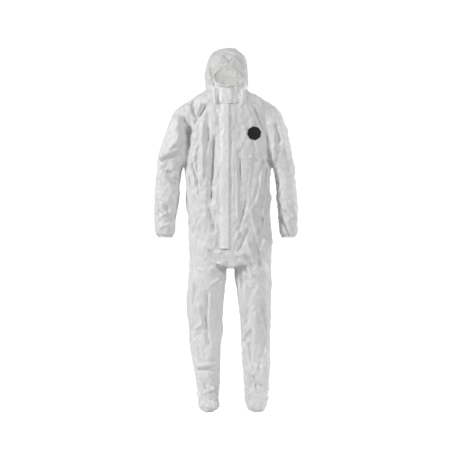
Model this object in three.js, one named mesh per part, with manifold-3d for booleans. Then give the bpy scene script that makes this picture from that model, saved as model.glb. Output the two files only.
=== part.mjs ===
// Hooded protective coverall with attached socks, as it hangs on a wearer: arms down, feet forward.
// Millimetres, +Z up, the front faces -Y, and +X is the wearer's left. The origin is the middle of
// the neck base, which rests on the wearer's shoulders.
import * as THREE from "three";
import { mergeVertices } from "three/addons/utils/BufferGeometryUtils.js";
import Module from "manifold-3d";

const wasm = await Module();
wasm.setup();

// ---- Driving dimensions ----------------------------------------------------------------------
const SKIN = 2.4; // thickness of the fabric solids
const GAP = 0.4; // clearance between neighbouring solids
const LINING = 1.2; // thickness of the elastics and the label, which lie against the inside
const SOLE_Z = -1610; // underside of the socks
const CROTCH = { x: 20, z: -892 };
const GUSSET = { half: 34, height: 42 };
const SIDE_SEAM_Y = 4;
const NECK_CUT_Z = 30; // the hood folds back above this level
const NECK_BAND = 8; // height of the soft band between collar and hood
const SLEEVE_END_Z = -733;
const ARMPIT_CLEAR_Z = -742; // below this the trunk has the full width to itself
const ELBOW_Z = -440;
const ELBOW_HALF = 62; // half the length of the soft elbow section
const KNEE_Z = -1190;
const KNEE_HALF = 86;
const HIP_SLOPE = THREE.MathUtils.degToRad(40); // rise of the leg line from crotch to hip
const HIP_END_Z = -1010; // foot of the soft hip section
const SOCK_TOP_Z = -1490;
const SOLE_HEIGHT = 12;
const CUFF_LENGTH = 22;
const WAIST_Z = -500;
const FACE = { x: 9, z: 71, halfWidth: 75, halfHeight: 47, hem: 9 };
const CROWN_HALF = 58; // half width of the hood's centre panel
const FRONT_TOP = { y: -100, z: 20 }; // the straight front line, from chin to belly
const FRONT_FOOT = { y: -130, z: -780 };
const FLAP = { free: -42, sewn: 18, top: -62, foot: -792, thick: 1.6, standOff: 7.5 };
const CHIN = { free: -42, sewn: 48, top: 20, foot: -59, thick: 1.6, standOff: 9 };
const ZIP = { tape: 15, top: 8, foot: -772, tooth: 2.6 };
const BADGE = { x: 140, z: -211, radius: 36, thick: 0.8 };

// Sections of each tube, top first: [z, lowest x, highest x, front y, back y].
const TRUNK = [
  [232, -14, 24, -18, 38], [226, -44, 50, -48, 72], [208, -72, 80, -82, 100],
  [180, -91, 97, -106, 120], [150, -100, 104, -116, 129], [110, -108, 109, -118, 130],
  [66, -108, 106, -112, 116], [30, -101, 104, -102, 96], [12, -104, 108, -100, 89],
  [-4, -122, 128, -101, 88], [-16, -158, 164, -101, 90], [-36, -194, 204, -102, 97],
  [-62, -208, 220, -103, 106], [-120, -209, 222, -105, 119], [-220, -209, 222, -109, 124],
  [-320, -209, 222, -113, 120], [-420, -209, 221, -117, 110], [-500, -207, 220, -120, 105],
  [-600, -199, 220, -123, 112], [-700, -192, 222, -127, 130], [-780, -186, 231, -130, 140],
  [-850, -184, 230, -126, 134], [-880, -176, 222, -112, 120], [-892, -150, 196, -80, 92],
];
const LEGS = {
  right: [
    [-790, -160, 4, -90, 100], [-850, -182, 12, -116, 122], [-897, -187, 6, -112, 118],
    [-950, -195, -8, -106, 112], [-1050, -199, -13, -98, 103], [-1110, -199, -18, -92, 95],
    [-1190, -190, -23, -84, 84], [-1270, -184, -29, -78, 83], [-1350, -175, -33, -74, 82],
    [-1430, -160, -34, -70, 76], [-1500, -147, -37, -66, 68], [-1540, -142, -41, -62, 62],
    [-1575, -134, -46, -52, 60],
  ],
  left: [
    [-790, 36, 206, -90, 100], [-850, 28, 228, -116, 122], [-897, 33, 227, -112, 118],
    [-950, 47, 226, -106, 112], [-1050, 56, 226, -98, 103], [-1110, 63, 226, -92, 95],
    [-1190, 73, 221, -84, 84], [-1270, 75, 221, -78, 83], [-1350, 79, 221, -74, 82],
    [-1430, 87, 220, -70, 76], [-1500, 89, 213, -66, 68], [-1540, 93, 208, -62, 62],
    [-1575, 99, 200, -52, 60],
  ],
};
const SLEEVES = {
  right: [
    [-42, -212, -158, -28, 34], [-58, -238, -146, -48, 56], [-90, -262, -140, -66, 76],
    [-130, -283, -150, -76, 86], [-190, -304, -172, -80, 88], [-250, -324, -192, -78, 84],
    [-312, -341, -218, -72, 76], [-400, -354, -219, -64, 64], [-500, -364, -229, -62, 58],
    [-600, -368, -243, -60, 54], [-680, -367, -252, -58, 50], [-716, -361, -256, -54, 46],
    [-733, -352, -262, -46, 40],
  ],
  left: [
    [-42, 166, 224, -28, 34], [-58, 156, 252, -48, 56], [-90, 152, 272, -66, 76],
    [-130, 160, 286, -76, 86], [-190, 182, 304, -80, 88], [-250, 204, 319, -78, 84],
    [-312, 231, 334, -72, 76], [-400, 233, 347, -64, 64], [-500, 246, 354, -62, 58],
    [-600, 255, 360, -60, 54], [-680, 262, 364, -58, 50], [-716, 266, 360, -54, 46],
    [-733, 273, 351, -46, 40],
  ],
};
// Sections of the foot from heel to toe: [y, half width, top z above the sole, lowest z above the sole].
const FOOT = [
  [70, 22, 84, 22], [62, 38, 100, 4], [40, 45, 112, -8], [0, 47, 112, -12], [-50, 47, 102, -12],
  [-100, 50, 88, -12], [-145, 50, 78, -10], [-178, 42, 68, -2], [-196, 26, 54, 12],
];
const FOOT_X = { right: -89, left: 148 };
// The raglan seam in front view, from the collar to the armpit: [x, z].
const RAGLAN = {
  right: [[-52, 40], [-75, -54], [-168, -189], [-228, -326]],
  left: [[94, 40], [123, -54], [186, -176], [240, -400]],
};
const ARMHOLE_X = { right: -209.6, left: 222.6 };
// The soft shoulder section ends on a slant in front view, from the armpit up to the outer arm: [x, z].
const SHOULDER_END = { right: [[-216, -354], [-300, -184]], left: [[229, -352], [300, -184]] };

// ---- Materials -------------------------------------------------------------------------------
function material(color, roughness, metalness = 0) {
  return new THREE.MeshStandardMaterial({ color, roughness, metalness });
}
const FABRIC = material(0xe6e7e8, 0.62);
const ELASTIC = material(0xefe9dc, 0.8);
const TAPE = material(0xf2f3f4, 0.45);
const PLASTIC = material(0xf0f0ee, 0.35);
const PATCH = material(0x141416, 0.5);

// ---- Solids ----------------------------------------------------------------------------------
function solid(geometry) {
  const bare = geometry.index ? geometry.toNonIndexed() : geometry.clone();
  for (const name of Object.keys(bare.attributes)) if (name !== "position") bare.deleteAttribute(name);
  const merged = mergeVertices(bare, 1e-4);
  return new wasm.Manifold(
    new wasm.Mesh({
      numProp: 3,
      vertProperties: merged.attributes.position.array,
      triVerts: new Uint32Array(merged.index.array),
    }),
  );
}

// A box between two corners.
function box(low, high) {
  const size = high.map((value, i) => value - low[i]);
  const middle = high.map((value, i) => (value + low[i]) / 2);
  return solid(new THREE.BoxGeometry(...size).translate(...middle));
}
const FAR = 3000;
function slab(axis, low, high) {
  const a = [-FAR, -FAR, -FAR];
  const b = [FAR, FAR, FAR];
  a[axis] = low;
  b[axis] = high;
  return box(a, b);
}
const X = 0;
const Y = 1;
const Z = 2;

// A closed solid through rings of points, each ring with the same number of points.
function ringSolid(rings) {
  const count = rings[0].length;
  const points = rings.flat();
  const first = points.length;
  const middle = (ring) => ring.reduce((sum, p) => sum.add(p), new THREE.Vector3()).divideScalar(count);
  points.push(middle(rings[0]), middle(rings.at(-1)));
  const faces = [];
  for (let r = 0; r < rings.length - 1; r++)
    for (let i = 0; i < count; i++) {
      const a = r * count + i;
      const b = r * count + ((i + 1) % count);
      faces.push(a, a + count, b, b, a + count, b + count);
    }
  const last = (rings.length - 1) * count;
  for (let i = 0; i < count; i++) {
    const j = (i + 1) % count;
    faces.push(first, i, j, first + 1, last + j, last + i);
  }
  const geometry = new THREE.BufferGeometry().setFromPoints(points).setIndex(faces);
  const made = solid(geometry);
  if (made.volume() > 0) return made;
  const turned = [];
  for (let i = 0; i < faces.length; i += 3) turned.push(faces[i], faces[i + 2], faces[i + 1]);
  return solid(new THREE.BufferGeometry().setFromPoints(points).setIndex(turned));
}

// A rounded ring: a superellipse, whose power sets how square it is.
function ring(count, power, place) {
  const made = [];
  for (let i = 0; i < count; i++) {
    const angle = (2 * Math.PI * i) / count;
    const bulge = (v) => Math.sign(v) * Math.abs(v) ** (2 / power);
    made.push(place(bulge(Math.cos(angle)), bulge(Math.sin(angle))));
  }
  return made;
}

// Sections between the given ones, on a smooth curve through each column.
function smooth(sections, steps) {
  const columns = [1, 2, 3, 4].map((column) => {
    const points = sections.map((s) => new THREE.Vector3(s[0], s[column] ?? 0, 0));
    return new THREE.CatmullRomCurve3(points, false, "catmullrom");
  });
  const made = [];
  for (let i = 0; i <= steps; i++) {
    const at = columns.map((curve) => curve.getPoint(i / steps));
    made.push([at[0].x, ...at.map((p) => p.y)]);
  }
  return made;
}

// An upright tube, taken in by `inset` all round. Open ends run on, so that they cut through.
function tube(sections, { inset, steps, count, power, openTop = false, openFoot = false }) {
  const takenIn = ([z, x0, x1, y0, y1]) => [z, x0 + inset, x1 - inset, y0 + inset, y1 - inset];
  const fine = smooth(sections, steps).map(takenIn);
  if (inset > 0) {
    const first = [...fine[0]];
    const last = [...fine.at(-1)];
    if (openTop) fine.unshift([first[0] + 40, ...first.slice(1)]);
    else fine[0][0] -= inset;
    if (openFoot) fine.push([last[0] - 40, ...last.slice(1)]);
    else fine.at(-1)[0] += inset;
  }
  return ringSolid(
    fine.map(([z, x0, x1, y0, y1]) =>
      ring(count, power, (u, v) =>
        new THREE.Vector3((x0 + x1) / 2 + (u * (x1 - x0)) / 2, (y0 + y1) / 2 + (v * (y1 - y0)) / 2, z),
      ),
    ),
  );
}

function foot(side, inset) {
  const fine = smooth(FOOT, 8).map(([y, half, top, low]) => [y, half - inset, top - inset, low]);
  fine[0][0] -= inset;
  fine.at(-1)[0] += inset;
  const rings = fine.map(([y, half, top, low]) =>
    ring(10, 2.2, (u, v) =>
      new THREE.Vector3(FOOT_X[side] + u * half, y, SOLE_Z + (top + low) / 2 + (v * (top - low)) / 2),
    ),
  );
  return ringSolid(rings).subtract(slab(Z, -FAR, SOLE_Z + inset));
}

const SIDES = ["right", "left"];
function trunkSolid(inset) {
  return tube(TRUNK, { inset, steps: 18, count: 20, power: 2.4 });
}
function sleeveSolid(side, inset) {
  return tube(SLEEVES[side], { inset, steps: 9, count: 12, power: 2.15, openFoot: true });
}
function legSolid(side, inset) {
  return tube(LEGS[side], { inset, steps: 10, count: 14, power: 2.2 }).add(foot(side, inset));
}
// The whole garment as one solid, taken in by `inset`.
function garment(inset) {
  const limbs = (sum, side) => sum.add(sleeveSolid(side, inset)).add(legSolid(side, inset));
  return SIDES.reduce(limbs, trunkSolid(inset));
}
const OUTER = garment(0);
const INNER = garment(SKIN);
const CLOTH = OUTER.subtract(INNER);

// ---- The assembly ----------------------------------------------------------------------------
const suit = new THREE.Group();

function add(name, shape, look, parent = suit) {
  const mesh = shape.getMesh();
  const geometry = new THREE.BufferGeometry();
  const vertices = new Float32Array(mesh.numVert * 3);
  for (let i = 0; i < mesh.numVert; i++)
    vertices.set(mesh.vertProperties.subarray(i * mesh.numProp, i * mesh.numProp + 3), i * 3);
  geometry.setAttribute("position", new THREE.BufferAttribute(vertices, 3));
  geometry.setIndex(new THREE.BufferAttribute(mesh.triVerts, 1));
  geometry.computeVertexNormals();
  const made = new THREE.Mesh(geometry, look);
  made.name = name;
  parent.add(made);
  return made;
}

// The largest body of a solid, without the crumbs that a cut can leave.
function main(shape) {
  return shape.decompose().sort((a, b) => b.volume() - a.volume())[0];
}

// ---- Regions ---------------------------------------------------------------------------------
// A prism along Y of an outline in front view.
function frontPrism(points) {
  const outline = new THREE.Shape(points.map(([x, z]) => new THREE.Vector2(x, z)));
  const prism = new THREE.ExtrudeGeometry(outline, { depth: 2 * FAR, bevelEnabled: false });
  return solid(prism.translate(0, 0, -FAR).rotateX(Math.PI / 2));
}

// The wedge below the leg line, lowered by `drop`: everything that belongs to one leg.
function legRegion(side, drop) {
  const out = side === "left" ? FAR : -FAR;
  const low = CROTCH.z - drop;
  const high = low + Math.tan(HIP_SLOPE) * FAR;
  return frontPrism([[CROTCH.x, low], [CROTCH.x, -FAR], [CROTCH.x + out, -FAR], [CROTCH.x + out, high]]);
}

// The arm below the soft shoulder section, lowered by `drop`.
function sleeveRegion(side, drop) {
  const out = side === "left" ? 1 : -1;
  const [[xIn, zIn], [xOut, zOut]] = SHOULDER_END[side];
  const slope = (zOut - zIn) / (xOut - xIn);
  const at = (x) => [x, zIn - drop + (x - xIn) * slope];
  return frontPrism([at(xIn - out * 30), at(out * 700), [out * 700, -FAR], [xIn - out * 30, -FAR]]);
}

// Everything outside a raglan seam, which is moved inwards by `grow`.
function raglanRegion(side, grow) {
  const out = side === "left" ? 1 : -1;
  const seam = RAGLAN[side].map(([x, z]) => [x - out * grow, z]);
  const foot = seam.at(-1)[1];
  return frontPrism([...seam, [out * FAR, foot], [out * FAR, seam[0][1]]]);
}

// The half-space past an armhole, `past` millimetres further out.
function armRegion(side, past) {
  const at = ARMHOLE_X[side];
  const [low, high] = side === "left" ? [at + past, FAR] : [-FAR, at - past];
  return box([low, -FAR, ARMPIT_CLEAR_Z], [high, FAR, FAR]);
}

const TORSO_CLOTH = (() => {
  let made = CLOTH.subtract(slab(Z, NECK_CUT_Z - NECK_BAND / 2 - GAP, FAR));
  for (const side of SIDES) made = made.subtract(armRegion(side, 0)).subtract(legRegion(side, 0));
  return made;
})();

// ---- Hood ------------------------------------------------------------------------------------
const hood = new THREE.Group();
suit.add(hood);

// A prism along Y of the face opening, grown by `grow`, through the front of the hood only.
function facePrism(grow) {
  const outline = new THREE.Shape().absellipse(
    FACE.x, FACE.z, FACE.halfWidth + grow, FACE.halfHeight + grow, 0, 2 * Math.PI,
  );
  const prism = new THREE.ExtrudeGeometry(outline, { depth: 200, bevelEnabled: false, curveSegments: 14 });
  return solid(prism.rotateX(Math.PI / 2));
}

function buildHood() {
  const above = slab(Z, NECK_CUT_Z + NECK_BAND / 2 + GAP, FAR);
  const cloth = CLOTH.intersect(above);
  const open = cloth.subtract(facePrism(FACE.hem));
  const seam = GAP / 2;
  const crown = slab(X, -CROWN_HALF + seam, CROWN_HALF - seam);
  add("hood_right_panel", main(open.intersect(slab(X, -FAR, -CROWN_HALF - seam))), FABRIC, hood);
  add("hood_left_panel", main(open.intersect(slab(X, CROWN_HALF + seam, FAR))), FABRIC, hood);
  // The crown panel ends at the brow in front and at the nape behind.
  const brow = slab(Z, FACE.z, FAR).add(slab(Y, 0, FAR));
  add("hood_crown_panel", main(open.intersect(crown).intersect(brow)), FABRIC, hood);
  const ringOf = (shape, outer, inner) => shape.intersect(facePrism(outer)).subtract(facePrism(inner));
  add("face_hem", main(ringOf(cloth, FACE.hem - GAP, 0)), FABRIC, hood);
  const under = garment(SKIN + GAP).subtract(garment(SKIN + GAP + 1.4)).intersect(above);
  add("face_elastic", main(ringOf(under, FACE.hem - 1, 2)), ELASTIC, hood);
}
buildHood();

// The soft band between collar and hood. Its front is open, where the face opening meets the chin.
const neckBand = CLOTH.intersect(slab(Z, NECK_CUT_Z - NECK_BAND / 2, NECK_CUT_Z + NECK_BAND / 2));
add("neck_band", main(neckBand.subtract(facePrism(0))), FABRIC);

// ---- Trunk panels ----------------------------------------------------------------------------
function buildTrunk() {
  const zipSlot = box([-ZIP.tape / 2, -FAR, ZIP.foot - 12], [ZIP.tape / 2, 0, FAR]);
  const whole = TORSO_CLOTH.subtract(zipSlot).subtract(facePrism(0));
  for (const side of SIDES) {
    add(side + "_shoulder_panel", main(whole.intersect(raglanRegion(side, 0))), FABRIC);
  }
  const cloth = whole.subtract(raglanRegion("right", GAP)).subtract(raglanRegion("left", GAP));
  const gussetBox = (grow) => {
    const half = GUSSET.half + grow;
    return box([CROTCH.x - half, -FAR, -FAR], [CROTCH.x + half, FAR, CROTCH.z + GUSSET.height + grow]);
  };
  const seam = GAP / 2;
  const upper = cloth.subtract(gussetBox(GAP));
  const front = upper.intersect(slab(Y, -FAR, SIDE_SEAM_Y - seam));
  const back = upper.intersect(slab(Y, SIDE_SEAM_Y + seam, FAR));
  add("front_right_panel", main(front.intersect(slab(X, -FAR, -seam))), FABRIC);
  add("front_left_panel", main(front.intersect(slab(X, seam, FAR))), FABRIC);
  add("back_right_panel", main(back.intersect(slab(X, -FAR, -seam))), FABRIC);
  add("back_left_panel", main(back.intersect(slab(X, seam, FAR))), FABRIC);
  add("crotch_gusset", main(cloth.intersect(gussetBox(0))), FABRIC);
  const inside = garment(SKIN + GAP).subtract(garment(SKIN + GAP + LINING));
  const belt = box([-FAR, SIDE_SEAM_Y + 20, WAIST_Z - 12], [FAR, FAR, WAIST_Z + 12]);
  add("waist_elastic", main(inside.intersect(belt).intersect(trunkSolid(SKIN))), ELASTIC);
  const label = box([-28, 0, -52], [28, FAR, -8]);
  add("neck_label", main(inside.intersect(label)), TAPE);
}
buildTrunk();

// ---- Front closure ---------------------------------------------------------------------------
const LEAN = Math.atan2(FRONT_TOP.y - FRONT_FOOT.y, FRONT_TOP.z - FRONT_FOOT.z);
// Places a group on the front line: its own +Z runs up the line, and -Y points away from the body.
function onFront(z) {
  const share = (FRONT_TOP.z - z) / (FRONT_TOP.z - FRONT_FOOT.z);
  const group = new THREE.Group();
  group.position.set(0, THREE.MathUtils.lerp(FRONT_TOP.y, FRONT_FOOT.y, share), z);
  group.rotation.x = -LEAN;
  return group;
}

// A zip tape with its coil; `out` is 1 on the wearer's left and -1 on the right.
function buildZipHalf(name, out, group, length) {
  const half = ZIP.tape / 2 - GAP;
  const [x0, x1] = out > 0 ? [0.2, half] : [-half, -0.2];
  add("zip_tape_" + name, box([x0, 0.6, -length], [x1, 1.4, 0]), TAPE, group);
  const coil = out > 0 ? [0.2, ZIP.tooth] : [-ZIP.tooth, -0.2];
  add("zip_coil_" + name, box([coil[0], -1.1, -length + 3], [coil[1], 0.3, -6]), PLASTIC, group);
  const stop = [box([0.2, -1.6, -4], [3, 0.3, -1]), box([-3, -1.6, -4], [-0.2, 0.3, -1])];
  add("zip_top_stop_" + name, out > 0 ? stop[0] : stop[1], PLASTIC, group);
}

// The slider rides over the coil; its pull hangs from a pin between two ears.
const SLIDER = { width: 10, length: 13, plate: 1.2, front: -1.9, ear: 3.4, pinRadius: 0.8 };
function buildSlider(group) {
  const half = SLIDER.width / 2;
  const top = -5;
  const plate = box([-half, SLIDER.front - SLIDER.plate, top - SLIDER.length], [half, SLIDER.front, top]);
  const wall = (x) => box([x - 0.6, SLIDER.front - 0.2, top - SLIDER.length], [x + 0.6, 0.2, top]);
  const pinZ = top - 4;
  const pinY = SLIDER.front - SLIDER.plate - 1.7;
  const ear = (x) => box([x - 0.6, pinY - 0.9, pinZ - 1.2], [x + 0.6, SLIDER.front - 0.4, pinZ + 1.2]);
  const pin = new THREE.CylinderGeometry(SLIDER.pinRadius, SLIDER.pinRadius, 2 * SLIDER.ear, 12);
  const shaft = solid(pin.rotateZ(Math.PI / 2).translate(0, pinY, pinZ));
  const walls = wall(-half + 0.6).add(wall(half - 0.6));
  const ears = ear(-SLIDER.ear).add(ear(SLIDER.ear));
  add("zip_slider", plate.add(walls).add(ears).add(shaft), PLASTIC, group);
  const eye = new THREE.Shape().absarc(0, 0, 1.35, 0, 2 * Math.PI);
  eye.holes.push(new THREE.Path().absarc(0, 0, SLIDER.pinRadius + 0.3, 0, 2 * Math.PI));
  const barrel = new THREE.ExtrudeGeometry(eye, { depth: 4.4, bevelEnabled: false, curveSegments: 8 });
  const tab = new THREE.Shape([
    new THREE.Vector2(-2.2, -1.25), new THREE.Vector2(2.2, -1.25), new THREE.Vector2(3.6, -12),
    new THREE.Vector2(3.6, -30), new THREE.Vector2(-3.6, -30), new THREE.Vector2(-3.6, -12),
  ]);
  const leaf = new THREE.ExtrudeGeometry(tab, { depth: 1, bevelEnabled: false });
  const pull = solid(barrel.translate(0, 0, -2.2).rotateY(Math.PI / 2).translate(0, pinY, pinZ)).add(
    solid(leaf.rotateX(Math.PI / 2).translate(0, pinY + 0.2, pinZ)),
  );
  add("zip_pull", pull, PLASTIC, group);
}

function buildClosure() {
  const zip = onFront(ZIP.top);
  const length = (ZIP.top - ZIP.foot) / Math.cos(LEAN);
  suit.add(zip);
  buildZipHalf("left", 1, zip, length);
  buildZipHalf("right", -1, zip, length);
  add("zip_bottom_stop", box([-3.4, -1.8, -length - 4], [3.4, 1.2, -length - GAP]), PLASTIC, zip);
  buildSlider(zip);
  const flap = onFront(FLAP.top);
  const drop = (FLAP.top - FLAP.foot) / Math.cos(LEAN);
  suit.add(flap);
  const face = -FLAP.standOff;
  add("storm_flap", box([FLAP.free, face - FLAP.thick, -drop], [FLAP.sewn, face, 0]), FABRIC, flap);
  const strip = [FLAP.free + 4, FLAP.free + 19];
  const adhesive = box([strip[0], face + GAP, -drop + 8], [strip[1], face + 1.2, -8]);
  add("storm_flap_adhesive", adhesive, TAPE, flap);
}
buildClosure();

// A curved flap over the top of the zip, with its adhesive patch on the inside.
function buildChinFlap() {
  const layer = (off, thick) => trunkSolid(-off - thick).subtract(trunkSolid(-off));
  const region = box([CHIN.free, -FAR, CHIN.foot], [CHIN.sewn, 0, CHIN.top]);
  add("chin_flap", main(layer(CHIN.standOff, CHIN.thick).intersect(region)), FABRIC);
  const patch = box([CHIN.free + 4, -FAR, CHIN.foot + 8], [CHIN.free + 22, 0, CHIN.top - 8]);
  add("chin_flap_adhesive", main(layer(CHIN.standOff - 1.4, 1).intersect(patch)), TAPE);
}
buildChinFlap();

// An eight-sided patch on the wearer's left chest, following the front.
function buildBadge() {
  const outline = new THREE.Shape();
  for (let i = 0; i < 8; i++) {
    const angle = (Math.PI / 4) * (i + 0.22);
    const [x, z] = [BADGE.x + BADGE.radius * Math.cos(angle), BADGE.z + BADGE.radius * Math.sin(angle)];
    if (i) outline.lineTo(x, z);
    else outline.moveTo(x, z);
  }
  const through = new THREE.ExtrudeGeometry(outline, { depth: 200, bevelEnabled: false });
  const prism = solid(through.rotateX(Math.PI / 2));
  const layer = trunkSolid(-GAP - BADGE.thick).subtract(trunkSolid(-GAP));
  add("chest_badge", main(layer.intersect(prism)), PATCH);
}
buildBadge();

// ---- Sleeves and legs ------------------------------------------------------------------------
function buildSleeve(side) {
  const cloth = CLOTH.intersect(armRegion(side, GAP));
  const span = (low, high) => main(cloth.intersect(slab(Z, low, high)));
  add(side + "_shoulder_section", main(cloth.subtract(sleeveRegion(side, 0))), FABRIC);
  const aboveElbow = slab(Z, ELBOW_Z + ELBOW_HALF + GAP, FAR);
  add(side + "_upper_sleeve", main(cloth.intersect(sleeveRegion(side, GAP)).intersect(aboveElbow)), FABRIC);
  add(side + "_elbow_section", span(ELBOW_Z - ELBOW_HALF, ELBOW_Z + ELBOW_HALF), FABRIC);
  const cuffTop = SLEEVE_END_Z + CUFF_LENGTH;
  add(side + "_lower_sleeve", span(cuffTop + GAP, ELBOW_Z - ELBOW_HALF - GAP), FABRIC);
  add(side + "_cuff", span(-FAR, cuffTop), FABRIC);
  const inside = sleeveSolid(side, SKIN + GAP).subtract(sleeveSolid(side, SKIN + GAP + LINING));
  const ringBand = slab(Z, SLEEVE_END_Z + 3, SLEEVE_END_Z + 13);
  add(side + "_cuff_elastic", main(inside.intersect(ringBand)), ELASTIC);
}

function buildLeg(side) {
  const cloth = CLOTH.intersect(legRegion(side, GAP));
  const span = (low, high) => slab(Z, low, high);
  add(side + "_hip_section", main(cloth.intersect(span(HIP_END_Z + GAP, FAR))), FABRIC);
  add(side + "_thigh", main(cloth.intersect(span(KNEE_Z + KNEE_HALF + GAP, HIP_END_Z))), FABRIC);
  add(side + "_knee_section", main(cloth.intersect(span(KNEE_Z - KNEE_HALF, KNEE_Z + KNEE_HALF))), FABRIC);
  add(side + "_shin", main(cloth.intersect(span(SOCK_TOP_Z + GAP, KNEE_Z - KNEE_HALF - GAP))), FABRIC);
  const soleTop = SOLE_Z + SOLE_HEIGHT;
  add(side + "_sock", main(cloth.intersect(span(soleTop + GAP, SOCK_TOP_Z))), FABRIC);
  add(side + "_sock_sole", main(cloth.intersect(span(-FAR, soleTop))), FABRIC);
}

for (const side of SIDES) {
  buildSleeve(side);
  buildLeg(side);
}

export default suit;
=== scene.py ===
import math

import bmesh
import bpy
import numpy as np
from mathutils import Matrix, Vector
from mathutils.bvhtree import BVHTree


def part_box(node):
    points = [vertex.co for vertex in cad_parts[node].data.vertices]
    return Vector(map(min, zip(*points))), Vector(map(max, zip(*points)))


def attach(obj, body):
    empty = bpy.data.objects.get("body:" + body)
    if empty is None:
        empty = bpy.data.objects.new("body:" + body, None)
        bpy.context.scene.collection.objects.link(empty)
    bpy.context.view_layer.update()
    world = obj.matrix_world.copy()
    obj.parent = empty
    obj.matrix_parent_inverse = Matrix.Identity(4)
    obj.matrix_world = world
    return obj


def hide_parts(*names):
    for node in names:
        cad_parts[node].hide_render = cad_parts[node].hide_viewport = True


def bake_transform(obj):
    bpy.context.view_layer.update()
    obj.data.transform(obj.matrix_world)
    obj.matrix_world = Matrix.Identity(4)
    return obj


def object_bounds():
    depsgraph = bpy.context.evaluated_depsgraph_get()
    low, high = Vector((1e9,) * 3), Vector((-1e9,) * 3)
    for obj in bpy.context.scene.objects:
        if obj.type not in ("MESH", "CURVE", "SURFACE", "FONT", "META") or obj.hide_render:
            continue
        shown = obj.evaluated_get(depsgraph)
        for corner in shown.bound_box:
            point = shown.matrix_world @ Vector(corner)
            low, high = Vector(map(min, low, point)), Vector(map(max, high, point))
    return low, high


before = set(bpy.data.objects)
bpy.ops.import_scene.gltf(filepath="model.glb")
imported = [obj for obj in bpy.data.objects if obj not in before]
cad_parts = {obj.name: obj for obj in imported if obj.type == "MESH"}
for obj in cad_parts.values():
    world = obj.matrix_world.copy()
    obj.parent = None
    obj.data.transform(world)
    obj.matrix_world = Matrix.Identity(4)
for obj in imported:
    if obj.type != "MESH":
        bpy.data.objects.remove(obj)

CAD_LOW, CAD_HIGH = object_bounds()
RNG = np.random.default_rng(7)
SIDES = {"right": -1, "left": 1}

VOXEL = 0.0072      # the size of the cloth's threads before it is subdivided
TRUNK_NODES = ["hood_crown_panel", "hood_left_panel", "hood_right_panel", "neck_band", "front_left_panel",
               "front_right_panel", "back_left_panel", "back_right_panel", "left_shoulder_panel",
               "right_shoulder_panel", "left_hip_section", "right_hip_section", "crotch_gusset"]


# ---- Small mesh tools ------------------------------------------------------------------------
def triangles(*names):
    """Every triangle of these CAD nodes, as an array of corners in metres."""
    out = []
    for name in names:
        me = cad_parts[name].data
        me.calc_loop_triangles()
        co = np.empty(len(me.vertices) * 3)
        me.vertices.foreach_get("co", co)
        tri = np.empty(len(me.loop_triangles) * 3, int)
        me.loop_triangles.foreach_get("vertices", tri)
        out.append(co.reshape(-1, 3)[tri.reshape(-1, 3)])
    return np.concatenate(out)


def crossings(tris, axis, level):
    """The points where the triangles' edges cross a level of one axis."""
    h = tris[:, :, axis] - level
    out = []
    for a, b in ((0, 1), (1, 2), (2, 0)):
        hit = h[:, a] * h[:, b] < 0
        t = (h[hit, a] / (h[hit, a] - h[hit, b]))[:, None]
        out.append(tris[hit, a] + (tris[hit, b] - tris[hit, a]) * t)
    return np.concatenate(out)


def smooth_chain(rows, passes):
    """Rows smoothed by their neighbours, with the first and last left where they are."""
    out = rows.copy()
    for _ in range(passes):
        out[1:-1] = (out[:-2] + 2 * out[1:-1] + out[2:]) / 4
    return out


def smooth_ring(rows, passes):
    """The same round a closed ring."""
    for _ in range(passes):
        rows = (np.roll(rows, 1, 0) + 2 * rows + np.roll(rows, -1, 0)) / 4
    return rows


def summed(index, values, count):
    """For each of count points, the sum of the values whose index names it."""
    return np.stack([np.bincount(index, values[:, i], count) for i in range(3)], 1)


def superellipse(count, power):
    a = np.arange(count) * 2 * math.pi / count
    def bulge(v):
        return np.sign(v) * np.abs(v) ** (2 / power)
    return bulge(np.cos(a)), bulge(np.sin(a))


def loft(name, rows, power, upright=True, count=56):
    """A closed solid through rows of (level, low u, high u, low v, high v)."""
    u, v = superellipse(count, power)
    verts, faces = [], []
    for level, a0, a1, b0, b1 in rows:
        p, q = (a0 + a1) / 2 + u * (a1 - a0) / 2, (b0 + b1) / 2 + v * (b1 - b0) / 2
        flat = np.full(count, level)
        verts.append(np.stack([p, q, flat] if upright else [p, flat, q], 1))
    verts = np.concatenate(verts)
    for r in range(len(rows) - 1):
        for i in range(count):
            j = (i + 1) % count
            faces.append((r * count + i, r * count + j, (r + 1) * count + j, (r + 1) * count + i))
    faces.append(tuple(range(count)))
    faces.append(tuple((len(rows) - 1) * count + i for i in range(count)))
    me = bpy.data.meshes.new(name)
    me.from_pydata(verts.tolist(), [], faces)
    bm = bmesh.new()
    bm.from_mesh(me)
    bmesh.ops.recalc_face_normals(bm, faces=bm.faces)
    bm.to_mesh(me)
    bm.free()
    return linked(name, me)


def linked(name, data):
    """A new object in the scene."""
    o = bpy.data.objects.new(name, data)
    bpy.context.scene.collection.objects.link(o)
    return o


def mesh_arrays(me):
    co = np.empty(len(me.vertices) * 3)
    me.vertices.foreach_get("co", co)
    no = np.empty(len(me.vertices) * 3)
    me.vertices.foreach_get("normal", no)
    ed = np.empty(len(me.edges) * 2, int)
    me.edges.foreach_get("vertices", ed)
    return co.reshape(-1, 3), no.reshape(-1, 3), ed.reshape(-1, 2)


def applied(o, *modifiers):
    """The object's mesh with these modifiers (type, settings) applied."""
    for kind, settings in modifiers:
        m = o.modifiers.new(kind, kind)
        for key, value in settings.items():
            setattr(m, key, value)
    dg = bpy.context.evaluated_depsgraph_get()
    me = bpy.data.meshes.new_from_object(o.evaluated_get(dg))
    o.modifiers.clear()
    old, o.data = o.data, me
    bpy.data.meshes.remove(old)
    return o


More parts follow.
